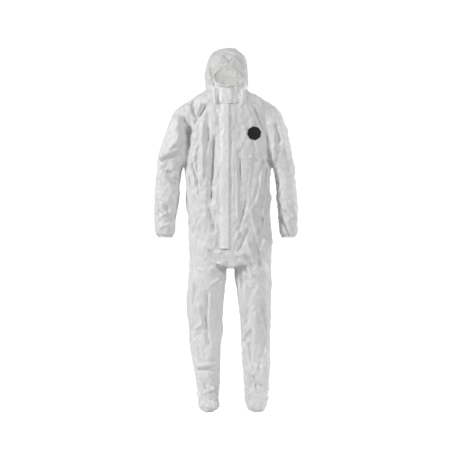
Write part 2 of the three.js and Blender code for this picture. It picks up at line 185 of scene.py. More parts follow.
# ---- The filled-out form, measured from the CAD shell ----------------------------------------
def rows_of(tris, levels, keep=None):
    out = []
    for level in levels:
        p = crossings(tris, 2, level)
        if keep is not None:
            p = p[keep(p)]
        out.append((level, p[:, 0].min(), p[:, 0].max(), p[:, 1].min(), p[:, 1].max()))
    return np.array(out)


def trunk_form():
    tris = triangles(*TRUNK_NODES)
    top = tris[:, :, 2].max()
    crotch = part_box("crotch_gusset")[0].z
    levels = [top - 0.0015, top - 0.006, top - 0.014, *np.arange(top - 0.026, crotch + 0.012, -0.016)]
    return loft("form_trunk", smooth_chain(rows_of(tris, levels), 2), 2.4)


def leg_form(side):
    tris = triangles(*[f"{side}_{n}" for n in ("hip_section", "thigh", "knee_section", "shin", "sock")])
    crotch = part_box("crotch_gusset")[0].z
    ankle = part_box(f"{side}_sock")[1].z - 0.075
    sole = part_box(f"{side}_sock_sole")[0].z
    rows = rows_of(tris, np.arange(crotch - 0.012, ankle, -0.018))
    first = rows[0].copy()
    first[0] += 0.1
    first[1:] += np.array([0.012, -0.012, 0.012, -0.012])
    last = rows[-1].copy()
    last[0] = sole + 0.035
    last[1:] += np.array([0.004, -0.004, 0.012, -0.004])
    rows = smooth_chain(np.vstack([first, rows, last]), 2)
    return loft(f"form_leg_{side}", rows, 2.2)


def foot_form(side):
    tris = triangles(f"{side}_sock", f"{side}_sock_sole")
    low, high = tris.reshape(-1, 3).min(0), tris.reshape(-1, 3).max(0)
    ankle = low[2] + 0.108
    rows = []
    for y in np.arange(low[1] + 0.003, high[1] - 0.002, 0.009):
        p = crossings(tris, 1, y)
        p = p[p[:, 2] < ankle]
        rows.append((y, p[:, 0].min(), p[:, 0].max(), p[:, 2].min() - 0.004, min(p[:, 2].max(), ankle)))
    return loft(f"form_foot_{side}", smooth_chain(np.array(rows), 2), 2.2, upright=False)


def sleeve_form(side):
    s = SIDES[side]
    sections = ("shoulder_section", "upper_sleeve", "elbow_section", "lower_sleeve", "cuff")
    tris = triangles(*[f"{side}_{n}" for n in sections])
    top, foot = tris[:, :, 2].max(), tris[:, :, 2].min()
    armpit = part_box(f"{side}_shoulder_section")[0].z - 0.004
    rows = []
    for z in np.concatenate([np.arange(top - 0.004, foot + 0.004, -0.016), [foot - 0.012]]):
        p = crossings(tris, 2, max(z, foot + 0.001))
        outer = (p[:, 0] * s).max() * s
        if z > armpit:
            widest = p[np.abs(p[:, 1] - p[:, 1].max()) < 0.0015, 0].mean()
            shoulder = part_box(f"{side}_shoulder_section")[0 if s > 0 else 1].x
            inner = min(2 * widest * s - outer * s, shoulder * s - 0.03) * s
        else:
            inner = ((p[:, 0] * s).min() + min(0.007, 0.25 * (armpit - z))) * s
        rows.append((z, min(inner, outer), max(inner, outer), p[:, 1].min(), p[:, 1].max()))
    return loft(f"form_sleeve_{side}", smooth_chain(np.array(rows), 2), 2.15)


def whole_form():
    parts = [trunk_form()]
    for side in SIDES:
        parts += [leg_form(side), foot_form(side), sleeve_form(side)]
    bm = bmesh.new()
    for o in parts:
        bm.from_mesh(o.data)
        bpy.data.objects.remove(o)
    me = bpy.data.meshes.new("form")
    bm.to_mesh(me)
    bm.free()
    remesh = {"mode": "VOXEL", "voxel_size": VOXEL, "use_smooth_shade": True}
    return applied(linked("form", me), ("REMESH", remesh))


# ---- Where the seams run: the same planes as the CAD panels ----------------------------------
def low(node):
    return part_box(node)[0]


def high(node):
    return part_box(node)[1]


CROTCH_X = (low("crotch_gusset").x + high("crotch_gusset").x) / 2
CROTCH_Z = low("crotch_gusset").z
HIP_SLOPE = math.radians(40)
ARMHOLE = {"left": high("left_shoulder_panel").x + 0.004, "right": low("right_shoulder_panel").x - 0.004}
ARMPIT_Z = {s: low(f"{s}_shoulder_section").z for s in SIDES}
NECK_Z = (low("neck_band").z, high("neck_band").z)
FACE_LOW, FACE_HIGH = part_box("face_hem")
FACE_X = (FACE_LOW.x + FACE_HIGH.x) / 2
HEM_ROLL = 0.0086       # how far the face hem reaches beyond the opening
FACE_HALF_W = (FACE_HIGH.x - FACE_LOW.x) / 2 - HEM_ROLL
FACE_TOP = FACE_HIGH.z - HEM_ROLL
FACE_HALF_H = 0.047
FACE_POWER = 2.7        # 2 would make the opening an ellipse; more squares its corners
FACE_Z = FACE_TOP - FACE_HALF_H
SIDE_SEAM_Y = low("back_left_panel").y
# The raglan seams from neck to armpit, in front view: (x, z), as in the CAD panels.
RAGLAN = {
    "right": [(-0.052, 0.040), (-0.075, -0.054), (-0.168, -0.189), (-0.228, -0.326)],
    "left": [(0.094, 0.040), (0.123, -0.054), (0.186, -0.176), (0.240, -0.400)],
}


def in_face(co):
    """How far inside the face opening a point is, seen from the front: below 1 is inside."""
    u = np.abs(co[..., 0] - FACE_X) / FACE_HALF_W
    v = np.abs(co[..., 2] - FACE_Z) / FACE_HALF_H
    return np.where(co[..., 1] < 0, (u ** FACE_POWER + v ** FACE_POWER) ** (2 / FACE_POWER), 99.0)


def near_arm(co, side):
    """True for points on the arm: past the armhole, and above where trunk and legs spread."""
    s = SIDES[side]
    arm_foot = low(f"{side}_cuff").z - 0.02
    spread = np.interp(-co[..., 2], [0.46, 0.6, 0.78], [0, 0.012, 0.022])
    return (co[..., 0] * s > ARMHOLE[side] * s + spread) & (co[..., 2] > arm_foot)


# ---- Cloth: a wrinkled film relaxed over the form --------------------------------------------
FOLD_HEIGHT = 2.3       # what the heights in FOLDS are multiplied by
CREASES = 900           # how many random creases are laid all over
# How much more cloth there is than form, by depth below the collar: (depths, shares).
SPARE_LENGTHWISE = ((-0.24, 0, 0.1, 0.7, 0.95, 1.3, 1.45, 1.61),
                    (0.02, 0.02, 0.008, 0.022, 0.012, 0.02, 0.045, 0.04))
SPARE_CROSSWISE = ((-0.24, 0, 0.1, 0.7, 0.95, 1.3, 1.61), (0.02, 0.02, 0.022, 0.035, 0.02, 0.016, 0.015))
STIFFNESS = 1.3         # how much of a thread's error one step puts right
# How strongly each stretch of cloth clings to the form.
HOLD_CLOTH, HOLD_FACE, HOLD_CUFF, HOLD_SOLE, HOLD_CLOSURE = 0.006, 0.08, 0.2, 0.5, 0.05
SEED_KEPT = 0.85        # how much of the first wrinkles the form under the cloth keeps
MOST_OFF = 0.024        # the furthest the cloth may move from the form
BROW_OFF = 0.009        # the same round the face
CLOSURE_OFF = 0.0025    # the same beside the zip
ZIP_OFF = 0.0004        # the same on the zip itself
CROWN_SINK = 0.006
NECK_SQUEEZE = 0.115
CUFF_ROUND, CUFF_TURN = 0.018, 0.018    # how far a cuff's end turns in, and over what height
SOLE_ROUND, SOLE_TURN = 0.016, 0.036    # the same for the edge of a sole
TOE_SPRING = 0.011
CROTCH_DROP = 0.026
ZIP_RISE = 0.0034
# Folds that the hanging cloth makes on the front, in millimetres: from (x, z) to (x, z),
# with half the fold's width and its height, below 0 for a valley.
FOLDS = [
    (-174, -54, -155, -136, 16, -11), (-103, -66, -160, -163, 15, -9), (-130, -60, -150, -130, 12, 6),
    (-238, -125, -246, -250, 26, 12), (-246, -250, -326, -343, 22, 12), (-215, -130, -190, -215, 22, -9),
    (-345, -345, -238, -438, 9, 13), (-332, -343, -236, -284, 14, 8), (-320, -375, -250, -470, 26, -10),
    (-59, -234, -79, -556, 24, -13), (-119, -165, -119, -444, 20, 9), (-88, -120, -100, -300, 18, -5),
    (-180, -343, -155, -480, 8, 6), (-168, -380, -150, -440, 7, -6), (-195, -420, -165, -540, 9, 6),
    (-150, -330, -140, -520, 8, -5), (-35, -420, -40, -640, 14, 7), (-100, -560, -60, -700, 14, -7),
    (123, -54, 180, -176, 7, -6), (246, -163, 272, -246, 17, -8), (270, -252, 250, -262, 14, -4),
    (262, -150, 290, -300, 18, 8), (238, -200, 250, -420, 10, 7), (225, -300, 262, -480, 9, -5),
    (68, -338, 220, -338, 5, 3), (70, -340, 68, -440, 8, -5), (60, -300, 62, -420, 22, -4),
    (190, -330, 150, -560, 8, 6), (205, -360, 175, -600, 7, -5), (170, -440, 190, -660, 9, 6),
    (45, -300, 50, -640, 18, 6), (95, -560, 60, -700, 12, -7), (120, -600, 150, -720, 12, 6),
    (276, -627, 319, -733, 9, -10), (300, -560, 330, -640, 10, 5), (262, -520, 300, -600, 10, 5),
    (-330, -560, -290, -640, 8, 6), (-345, -600, -275, -660, 8, -6), (-350, -640, -270, -600, 8, 5),
    (-340, -690, -270, -650, 7, 6), (-350, -530, -290, -560, 8, 5),
    (6, -829, 79, -976, 13, -13), (6, -826, 89, -814, 8, 8), (18, -800, 92, -950, 9, 8),
    (66, -838, 139, -934, 8, 9), (80, -830, 130, -890, 8, -6), (0, -915, -74, -971, 11, 9),
    (-38, -815, 6, -733, 8, 9), (-50, -780, -10, -700, 10, -7), (30, -790, 60, -700, 9, 7),
    (60, -800, 110, -690, 9, -7), (-90, -800, -40, -860, 14, -7), (-20, -860, -90, -900, 10, 6),
    (100, -760, 140, -860, 10, 7), (150, -770, 170, -880, 9, -6), (190, -740, 160, -840, 10, 6),
    (-142, -1078, -121, -1173, 12, 10), (-121, -1173, -165, -1199, 10, 7), (-100, -1010, -96, -1140, 12, -5),
    (-160, -930, -172, -1060, 10, 7), (-84, -1030, -90, -1190, 9, 5), (-110, -1120, -85, -1290, 14, -5),
    (-151, -1387, -55, -1369, 11, 12), (-150, -1408, -60, -1392, 9, -8), (-160, -1250, -140, -1340, 12, 5),
    (-140, -1440, -110, -1500, 11, 9), (-100, -1420, -60, -1500, 14, 5), (-134, -1546, -43, -1515, 8, -12),
    (-130, -1566, -45, -1536, 8, 8), (-150, -1470, -120, -1530, 8, -6),
    (84, -1256, 119, -1190, 12, 8), (88, -1270, 92, -1390, 12, 9), (66, -970, 84, -1130, 14, 7),
    (120, -1000, 100, -1180, 22, -6), (150, -1120, 140, -1260, 16, 6), (180, -1080, 205, -1220, 12, -6),
    (205, -1200, 196, -1330, 12, 7), (110, -1270, 130, -1390, 18, -6), (132, -1435, 157, -1502, 7, -9),
    (150, -1380, 165, -1460, 9, 6), (185, -1350, 170, -1470, 10, 7), (110, -1400, 118, -1500, 10, 6),
    (105, -1530, 190, -1520, 9, -5), (-40, 215, 30, 195, 7, -8), (-10, 190, 20, 150, 8, -9),
    (-70, 150, 60, 165, 6, 6), (-60, 135, -5, 140, 5, -5), (-88, 130, -74, 60, 7, 8),
    (-80, 100, -70, 20, 6, -7), (70, 175, 92, 110, 8, 6), (40, 150, 75, 125, 6, -6),
    (-20, 205, -70, 165, 8, 7), (30, 200, 75, 150, 8, -5), (-70, 20, -55, -60, 9, 8),
    (-60, -20, -30, -110, 6, 7), (80, 10, 95, -60, 8, 5),
]


def add_stroke(co, no, out, a, b, half, height):
    """A ridge or valley from a to b, sharp along its middle and fading at its ends."""
    d = b - a
    length = np.linalg.norm(d)
    d = d / length
    rel = co - a
    along = rel @ d
    t = along / length
    mine = (t > -0.15) & (t < 1.15)
    rel, t, along = rel[mine], t[mine], along[mine]
    across = rel - along[:, None] * d
    normal = no[mine]
    across = np.linalg.norm(across - (across * normal).sum(1)[:, None] * normal, axis=1)
    deep = np.abs(((co[mine] - a) * normal).sum(1)) < 0.09
    shape = np.clip(1 - across / half, 0, 1) * np.clip(1.15 - np.abs(2 * t - 1), 0, 0.3) / 0.3
    out[mine] += height * shape * deep


def limb_axis(co):
    """The direction along the cloth tube at each point: down the sleeves, otherwise upright."""
    axis = np.zeros_like(co)
    axis[:, 2] = 1
    for side, s in SIDES.items():
        arm = near_arm(co, side)
        axis[arm] = np.array([-0.16 * s, 0, 1]) / math.hypot(0.16, 1)
    return axis


def seed_wrinkles(co, no):
    """The first guess at the wrinkles: folds of the front, and many random creases."""
    out = np.zeros(len(co))
    front = np.nonzero(no[:, 1] < -0.25)[0]
    for x0, z0, x1, z1, half, height in FOLDS:
        ends = []
        for x, z in ((x0, z0), (x1, z1)):
            near = np.abs(co[front, 0] - x / 1e3) + np.abs(co[front, 2] - z / 1e3)
            ends.append(co[front[near.argmin()]])
        add_stroke(co, no, out, ends[0], ends[1], half / 1e3, FOLD_HEIGHT * height / 1e3)
    axis = limb_axis(co)
    arm = near_arm(co, "left") | near_arm(co, "right")
    leg = co[:, 2] < CROTCH_Z
    hood = co[:, 2] > NECK_Z[0]
    picks = RNG.integers(0, len(co), CREASES)
    for k in picks:
        p, n = co[k], no[k]
        up = axis[k] - (axis[k] @ n) * n
        if np.linalg.norm(up) < 0.2:
            continue
        up /= np.linalg.norm(up)
        side = np.cross(n, up)
        if arm[k]:
            lean = RNG.normal(1.05, 0.5) * RNG.choice([-1, 1])
        elif leg[k]:
            lean = RNG.normal(0.25, 0.5) * RNG.choice([-1, 1])
            if p[2] < -1.36:
                lean = RNG.normal(1.2, 0.4) * RNG.choice([-1, 1])
        elif hood[k]:
            lean = RNG.normal(0.8, 0.6) * RNG.choice([-1, 1])
        else:
            lean = RNG.normal(0.0, 0.42)
        d = up * math.cos(lean) + side * math.sin(lean)
        long = RNG.uniform(0.05, 0.2) * (0.6 if hood[k] else 1)
        half = RNG.uniform(0.007, 0.022)
        height = RNG.uniform(0.002, 0.0065) * RNG.choice([-1, 1])
        if n[1] < -0.25:
            height *= 0.75
        add_stroke(co, no, out, p - d * long / 2, p + d * long / 2, half, height)
    return out + crumple(co) + gathers(co)


def crumple(co):
    """Small sharp facets all over, as in a film that was folded flat in its bag."""
    def wander(k, phase):
        one = np.sin(k * (co @ np.array([0.7, 0.4, 0.6])) + phase)
        return one + np.sin(k * (co @ np.array([-0.5, 0.8, 0.35])) + 2 * phase)

    def facets(v):
        return 2 * np.abs(2 * (v / (2 * math.pi) % 1) - 1) - 1

    out = np.zeros(len(co))
    waves = ((0.3, 0.052, 0.0012), (-0.4, 0.041, 0.001), (1.2, 0.064, 0.0009), (-1.1, 0.035, 0.0007))
    for turn, wavelength, height in waves:
        spin = np.array([math.cos(turn), 0.6 * math.sin(turn), math.sin(turn)])
        flat = np.array([math.cos(turn + 1), math.sin(turn + 1), 0.35])
        phase = (co @ (spin + 0.5 * flat)) * 2 * math.pi / wavelength
        phase = phase + 1.6 * wander(23, turn) + 0.9 * wander(61, 3 * turn)
        out += 1.5 * height * facets(phase) * (0.55 + 0.45 * wander(11, 5 * turn) / 2)
    return out


def gathers(co):
    """The pleats that elastic draws up at the cuffs, round the face and across the back of the waist."""
    out = np.zeros(len(co))
    for side in SIDES:
        foot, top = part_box(f"{side}_cuff")
        centre = (foot + top) / 2
        arm = near_arm(co, side)
        angle = np.arctan2(co[:, 1] - centre.y, co[:, 0] - centre.x)
        up = np.clip(1 - (co[:, 2] - foot.z) / 0.075, 0, 1)
        wave = np.sin(17 * angle + 1.7 * np.sin(3 * angle) + 9 * up)
        out += np.where(arm, 0.0022 * wave * up, 0)
    r = np.sqrt(in_face(co))
    angle = np.arctan2(co[:, 2] - FACE_Z, co[:, 0] - FACE_X)
    fade = np.clip(1 - (r - 1) / 0.55, 0, 1) * (r > 0.95) * (0.5 + 0.5 * np.sin(angle))
    out += 0.0024 * np.where(r < 20, fade * np.sin(30 * angle + 2 * np.sin(5 * angle)), 0)
    waist = (low("waist_elastic").z + high("waist_elastic").z) / 2
    fade = np.clip(1 - np.abs(co[:, 2] - waist) / 0.11, 0, 1) ** 1.5 * (co[:, 1] > 0.03)
    fade *= ~(near_arm(co, "left") | near_arm(co, "right"))
    out += fade * (0.004 * np.sin(150 * co[:, 0] + 2.2 * np.sin(31 * co[:, 0])) - 0.009)
    return out


def relax(co, base, edges, grow, hold, steps):
    """Position-based cloth: every thread keeps its own length while the cloth clings to the form."""
    a, b = edges[:, 0], edges[:, 1]
    count = len(co)
    rest = np.linalg.norm(base[b] - base[a], axis=1) * grow
    degree = np.bincount(np.concatenate([a, b]), minlength=count)[:, None]
    x = co.copy()
    both = np.concatenate([a, b])
    for _ in range(steps):
        d = x[b] - x[a]
        length = np.linalg.norm(d, axis=1)
        push = (0.5 * (length - rest) / np.maximum(length, 1e-9))[:, None] * d
        move = summed(both, np.concatenate([push, -push]), count)
        x += STIFFNESS * move / degree
        x = base + (x - base) * (1 - hold)[:, None]
    return x


def eased_shoulders(co, edges):
    """Rounds off the line where each sleeve's top runs into the trunk."""
    near = np.zeros(len(co))
    for side in SIDES:
        away = np.abs(co[:, 0] - ARMHOLE[side]) / 0.075
        away += np.clip(np.abs(co[:, 2] + 0.07) - 0.05, 0, None) / 0.05
        near = np.maximum(near, np.clip(1 - away, 0, 1))
    both = np.concatenate([edges[:, 0], edges[:, 1]])
    other = np.concatenate([edges[:, 1], edges[:, 0]])
    degree = np.bincount(both, minlength=len(co))
    x = co.copy()
    for _ in range(50):
        mean = summed(both, x[other], len(co)) / degree[:, None]
        x += (mean - x) * np.minimum(1, 1.6 * near)[:, None]
    return x


def soothed(co, edges, weight, passes):
    """Smooths the points by their neighbours, as much as weight says at each."""
    a, b = edges.T
    count = np.bincount(a, minlength=len(co)) + np.bincount(b, minlength=len(co))
    for _ in range(passes):
        mean = summed(a, co[b], len(co)) + summed(b, co[a], len(co))
        co = co + weight[:, None] * (mean / np.maximum(count, 1)[:, None] - co)
    return co


def settled(co):
    """Lets crown and crotch sink, draws in the neck, rounds cuffs and soles, and raises the cloth by the zip."""
    out = co.copy()
    out[:, 2] -= CROWN_SINK * np.clip((co[:, 2] - 0.10) / 0.11, 0, 1)
    neck = NECK_SQUEEZE * np.exp(-((co[:, 2] - 0.010) / 0.022) ** 2)
    out[:, 0] -= neck * (co[:, 0] - 0.003)
    for side in SIDES:
        end = low(f"{side}_cuff")
        arm = near_arm(co, side) & (co[:, 2] < end.z + 0.10)
        middle = (np.array(end[:2]) + np.array(high(f"{side}_cuff")[:2])) / 2
        spoke = out[arm, :2] - middle
        reach = np.maximum(np.linalg.norm(spoke, axis=1), 1e-6)
        turn = np.clip((end.z + CUFF_TURN - co[arm, 2]) / CUFF_TURN, 0, 0.93)
        fade = np.clip((end.z + 0.10 - co[arm, 2]) / 0.09, 0, 1)
        around = np.arctan2(spoke[:, 1], spoke[:, 0])
        pleat = np.sin(15 * around + 3 * np.sin(2 * around) + 20 * co[arm, 2]) + 0.5 * np.sin(26 * around + 1)
        change = 0.0017 * pleat * fade - CUFF_ROUND * (1 - np.sqrt(1 - turn ** 2))
        out[arm, :2] += spoke / reach[:, None] * change[:, None]
        sole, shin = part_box(f"{side}_sock_sole"), low(f"{side}_shin").z
        foot = (co[:, 2] < shin) & (SIDES[side] * (co[:, 0] - CROTCH_X) > 0)
        turn = np.clip((CAD_LOW.z + SOLE_TURN - co[foot, 2]) / SOLE_TURN, 0, 0.96)
        spring = np.clip((-0.09 - co[foot, 1]) / 0.10, 0, 1) ** 2
        spring *= np.clip((CAD_LOW.z + 0.09 - co[foot, 2]) / 0.07, 0, 1)
        span = (co[foot, 0] - (sole[0].x + sole[1].x) / 2) / ((sole[1].x - sole[0].x) / 2)
        out[foot, 0] -= SOLE_ROUND * np.clip(span, -1, 1) * (1 - np.sqrt(1 - turn ** 2))
        out[foot, 2] += TOE_SPRING * spring
    out[:, 2] = np.maximum(out[:, 2], CAD_LOW.z + 0.0016)
    crotch = np.exp(-((co[:, 0] - CROTCH_X) / 0.036) ** 2 - ((co[:, 2] - CROTCH_Z - 0.020) / 0.042) ** 2)
    out[:, 2] -= CROTCH_DROP * crotch
    front = (co[:, 1] < -0.05) & (co[:, 2] < 0.0) & (co[:, 2] > -0.80)
    rise = np.exp(-((co[:, 0] - 0.030) / 0.012) ** 2) * np.clip((co[:, 2] + 0.80) / 0.03, 0, 1)
    rise *= np.clip(-co[:, 2] / 0.03, 0, 1)
    out[:, 1] -= np.where(front, ZIP_RISE * rise, 0)
    return out


def drape(o):
    """Wrinkles the form's surface, relaxes it as cloth, holds it near the form and settles it."""
    me = o.data
    co, no, edges = mesh_arrays(me)
    co = eased_shoulders(co, edges)
    quads = np.array([tuple(p.vertices) for p in me.polygons if len(p.vertices) == 4])
    threads = np.concatenate([edges, quads[:, [0, 2]], quads[:, [1, 3]]])
    axis = limb_axis(co)
    middle = (threads[:, 0], threads[:, 1])
    d = co[middle[1]] - co[middle[0]]
    d /= np.maximum(np.linalg.norm(d, axis=1), 1e-9)[:, None]
    along = (d * axis[middle[0]]).sum(1) ** 2
    z = co[middle[0], 2]
    arm = (near_arm(co, "left") | near_arm(co, "right"))[middle[0]]
    lengthwise = np.where(arm, 0.02, np.interp(-z, *SPARE_LENGTHWISE))
    crosswise = np.where(arm, 0.012, np.interp(-z, *SPARE_CROSSWISE))
    grow = 1 + lengthwise * along + crosswise * (1 - along)
    hold = np.full(len(co), HOLD_CLOTH)
    rim = np.abs(np.sqrt(in_face(co)) - 1) < 0.1
    hold[rim] = HOLD_FACE
    for side in SIDES:
        cuff = near_arm(co, side) & (co[:, 2] < low(f"{side}_cuff").z + 0.016)
        hold[cuff] = HOLD_CUFF
    hold[co[:, 2] < low("left_sock_sole").z + 0.006] = HOLD_SOLE
    closure = (np.abs(co[:, 0] - 0.002) < 0.05) & (co[:, 1] < -0.05)
    closure &= (co[:, 2] < 0.03) & (co[:, 2] > -0.80)
    hold[closure] = np.maximum(hold[closure], HOLD_CLOSURE)
    seed = seed_wrinkles(co, no)[:, None] * no
    steps = 150
    x = relax(co + seed, co + SEED_KEPT * seed, threads, grow, hold * 3, steps)
    off = x - co
    far = np.linalg.norm(off, axis=1)
    cap = np.minimum(MOST_OFF, 0.006 + 0.12 * np.hypot(co[:, 0] - CROTCH_X, co[:, 2] - CROTCH_Z - 0.02))
    brow = in_face(co) < 5
    cap[brow] = np.minimum(cap[brow], BROW_OFF)
    cap[closure] = CLOSURE_OFF
    cap[closure & (np.abs(co[:, 0]) < 0.018)] = ZIP_OFF
    x = co + off * np.minimum(1, cap / np.maximum(far, 1e-9))[:, None]
    away = np.hypot(x[:, 0] - CROTCH_X, x[:, 2] - CROTCH_Z - 0.02) / 0.055
    x = soothed(x, edges, 0.6 * np.exp(-away ** 2), 7)
    x = settled(x)
    me.vertices.foreach_set("co", x.ravel())
    me.update()
    return o



# ---- Cutting the cloth into its panels -------------------------------------------------------
ZIP_FOOT = low("zip_tape_left").z
SLOT = 0.0075       # half the gap that the zip lies in
CROWN = (low("hood_crown_panel").x, high("hood_crown_panel").x)
GUSSET = (low("crotch_gusset").x, high("crotch_gusset").x, high("crotch_gusset").z)
ELBOW_CUT = -0.415  # the height at which sleeve and forearm panels meet


class Cutter:
    """Draws edge loops where planes cross a mesh, keeping every face's centre at hand."""

    def __init__(self, bm):
        self.bm = bm
        self.faces = list(bm.faces)
        self.row = {f: i for i, f in enumerate(self.faces)}
        self.centres = np.array([f.calc_center_median()[:] for f in self.faces])

    def __call__(self, point, normal, keep):
        faces = [self.faces[i] for i in np.nonzero(keep(self.centres))[0]]
        verts = {v for f in faces for v in f.verts}
        edges = {e for f in faces for e in f.edges}
        made = bmesh.ops.bisect_plane(self.bm, geom=[*verts, *edges, *faces], dist=0.0012,
                                      plane_co=point, plane_no=normal)
        fresh = []
        for f in made["geom"]:
            if isinstance(f, bmesh.types.BMFace):
                if f in self.row:
                    self.centres[self.row[f]] = f.calc_center_median()[:]
                else:
                    self.row[f] = len(self.faces)
                    self.faces.append(f)
                    fresh.append(f.calc_center_median()[:])
        if fresh:
            self.centres = np.vstack([self.centres, fresh])


def cut_all(bm):
    cut = Cutter(bm)

    def trunk(c):
        return (c[:, 2] < NECK_Z[0] + 0.01) & (c[:, 2] > CROTCH_Z - 0.01)

    for z in NECK_Z:
        cut((0, 0, z), (0, 0, 1), lambda c: np.abs(c[:, 2] - z) < 0.03)
    for x in CROWN:
        cut((x, 0, 0), (1, 0, 0),
            lambda c: (c[:, 2] > NECK_Z[1] - 1e-4) & (np.abs(c[:, 0] - x) < 0.03))
    for x in (-SLOT, SLOT):
        cut((x, 0, 0), (1, 0, 0),
            lambda c: trunk(c) & (np.abs(c[:, 0] - x) < 0.02) & (c[:, 1] < 0) & (c[:, 2] > ZIP_FOOT - 0.02))
    cut((0, 0, ZIP_FOOT), (0, 0, 1),
        lambda c: (np.abs(c[:, 0]) < 0.02) & (c[:, 1] < 0) & (np.abs(c[:, 2] - ZIP_FOOT) < 0.03))
    cut((0, 0, 0), (1, 0, 0), lambda c: trunk(c) & (np.abs(c[:, 0]) < 0.02))
    cut((0, SIDE_SEAM_Y, 0), (0, 1, 0), lambda c: trunk(c) & (np.abs(c[:, 1] - SIDE_SEAM_Y) < 0.03))
    for side, s in SIDES.items():
        line = RAGLAN[side]
        for (x0, z0), (x1, z1) in zip(line, line[1:]):
            cut((x0, 0, z0), (z1 - z0, 0, x0 - x1),
                lambda c: trunk(c) & (c[:, 2] < z0 + 0.012) & (c[:, 2] > z1 - 0.012) & (c[:, 0] * s > 0.03))
        cut((ARMHOLE[side], 0, 0), (1, 0, 0),
            lambda c: (np.abs(c[:, 0] - ARMHOLE[side]) < 0.03) & (c[:, 2] > ARMPIT_Z[side] - 0.12))
        cut((CROTCH_X, 0, CROTCH_Z), (-s * math.sin(HIP_SLOPE), 0, math.cos(HIP_SLOPE)),
            lambda c: (c[:, 0] * s > CROTCH_X * s - 0.02) & (c[:, 2] < -0.66) & ~near_arm(c, side))
        for z in (high(f"{side}_knee_section").z, high(f"{side}_sock").z, high(f"{side}_sock_sole").z):
            cut((0, 0, z), (0, 0, 1),
                lambda c: (np.abs(c[:, 2] - z) < 0.03) & (c[:, 0] * s > CROTCH_X * s))
        for z in (ELBOW_CUT, high(f"{side}_cuff").z, low(f"{side}_cuff").z + 0.001):
            cut((0, 0, z), (0, 0, 1), lambda c: (np.abs(c[:, 2] - z) < 0.03) & near_arm(c, side))
    for x in GUSSET[:2]:
        cut((x, 0, 0), (1, 0, 0),
            lambda c: (np.abs(c[:, 0] - x) < 0.02) & (np.abs(c[:, 2] - CROTCH_Z - 0.01) < 0.06))
    cut((0, 0, GUSSET[2]), (0, 0, 1),
        lambda c: (np.abs(c[:, 0] - CROTCH_X) < 0.06) & (np.abs(c[:, 2] - GUSSET[2]) < 0.03))


def raglan_x(side, z):
    xs, zs = zip(*RAGLAN[side])
    return np.interp(-z, [-v for v in zs], xs)


def regions(c):
    """The panel that each face centre belongs to, by name; an empty name is an opening."""
    x, y, z = c[:, 0], c[:, 1], c[:, 2]
    name = np.full(len(c), "", dtype=object)
    lr = np.where(x > 0, "left", "right")
    fb = np.where(y > SIDE_SEAM_Y, "back", "front")
    name[:] = [f"{a}_{b}_panel" for a, b in zip(fb, lr)]
    slot = (np.abs(x) < SLOT) & (y < 0) & (z > ZIP_FOOT)
    name[slot] = ""
    name[(x > GUSSET[0]) & (x < GUSSET[1]) & (z < GUSSET[2])] = "crotch_gusset"
    for side, s in SIDES.items():
        beyond = (x * s > raglan_x(side, z) * s) & (z > RAGLAN[side][-1][1])
        name[beyond] = f"{side}_shoulder_panel"
        leg = ((x - CROTCH_X) * s > 0) & (z < CROTCH_Z + (x - CROTCH_X) * s * math.tan(HIP_SLOPE))
        name[leg] = f"{side}_thigh_panel"
        name[leg & (z < high(f"{side}_knee_section").z)] = f"{side}_shin_panel"
        name[leg & (z < high(f"{side}_sock").z)] = f"{side}_sock_upper"
        name[leg & (z < high(f"{side}_sock_sole").z)] = f"{side}_sole"
    name[z > NECK_Z[0]] = "neck"
    name[z > NECK_Z[1]] = "hood_crown"
    name[(z > NECK_Z[1]) & (x < CROWN[0])] = "hood_right"
    name[(z > NECK_Z[1]) & (x > CROWN[1])] = "hood_left"
    name[(in_face(c) < 1) & (z > NECK_Z[0] - 0.05)] = ""
    for side in SIDES:
        arm = near_arm(c, side)
        name[arm] = f"{side}_sleeve"
        name[arm & (z < ELBOW_CUT)] = f"{side}_forearm_panel"
        name[arm & (z < high(f"{side}_cuff").z)] = f"{side}_cuff_band"
        name[arm & (z < low(f"{side}_cuff").z + 0.001)] = ""
    return name


def snap_face_rim(bm):
    """Opens the face: faces inside go, and the jagged edge is drawn onto the true oval."""
    def opens(middle):
        return in_face(np.array(middle))[()] < 1 and middle.z > NECK_Z[0] - 0.05

    gone = [f for f in bm.faces if opens(f.calc_center_median())]
    bmesh.ops.delete(bm, geom=gone, context="FACES")
    for v in bm.verts:
        if v.is_boundary:
            r = math.sqrt(float(in_face(np.array(v.co))))
            if 0.5 < r < 1.6:
                v.co.x = FACE_X + (v.co.x - FACE_X) / r
                v.co.z = FACE_Z + (v.co.z - FACE_Z) / r


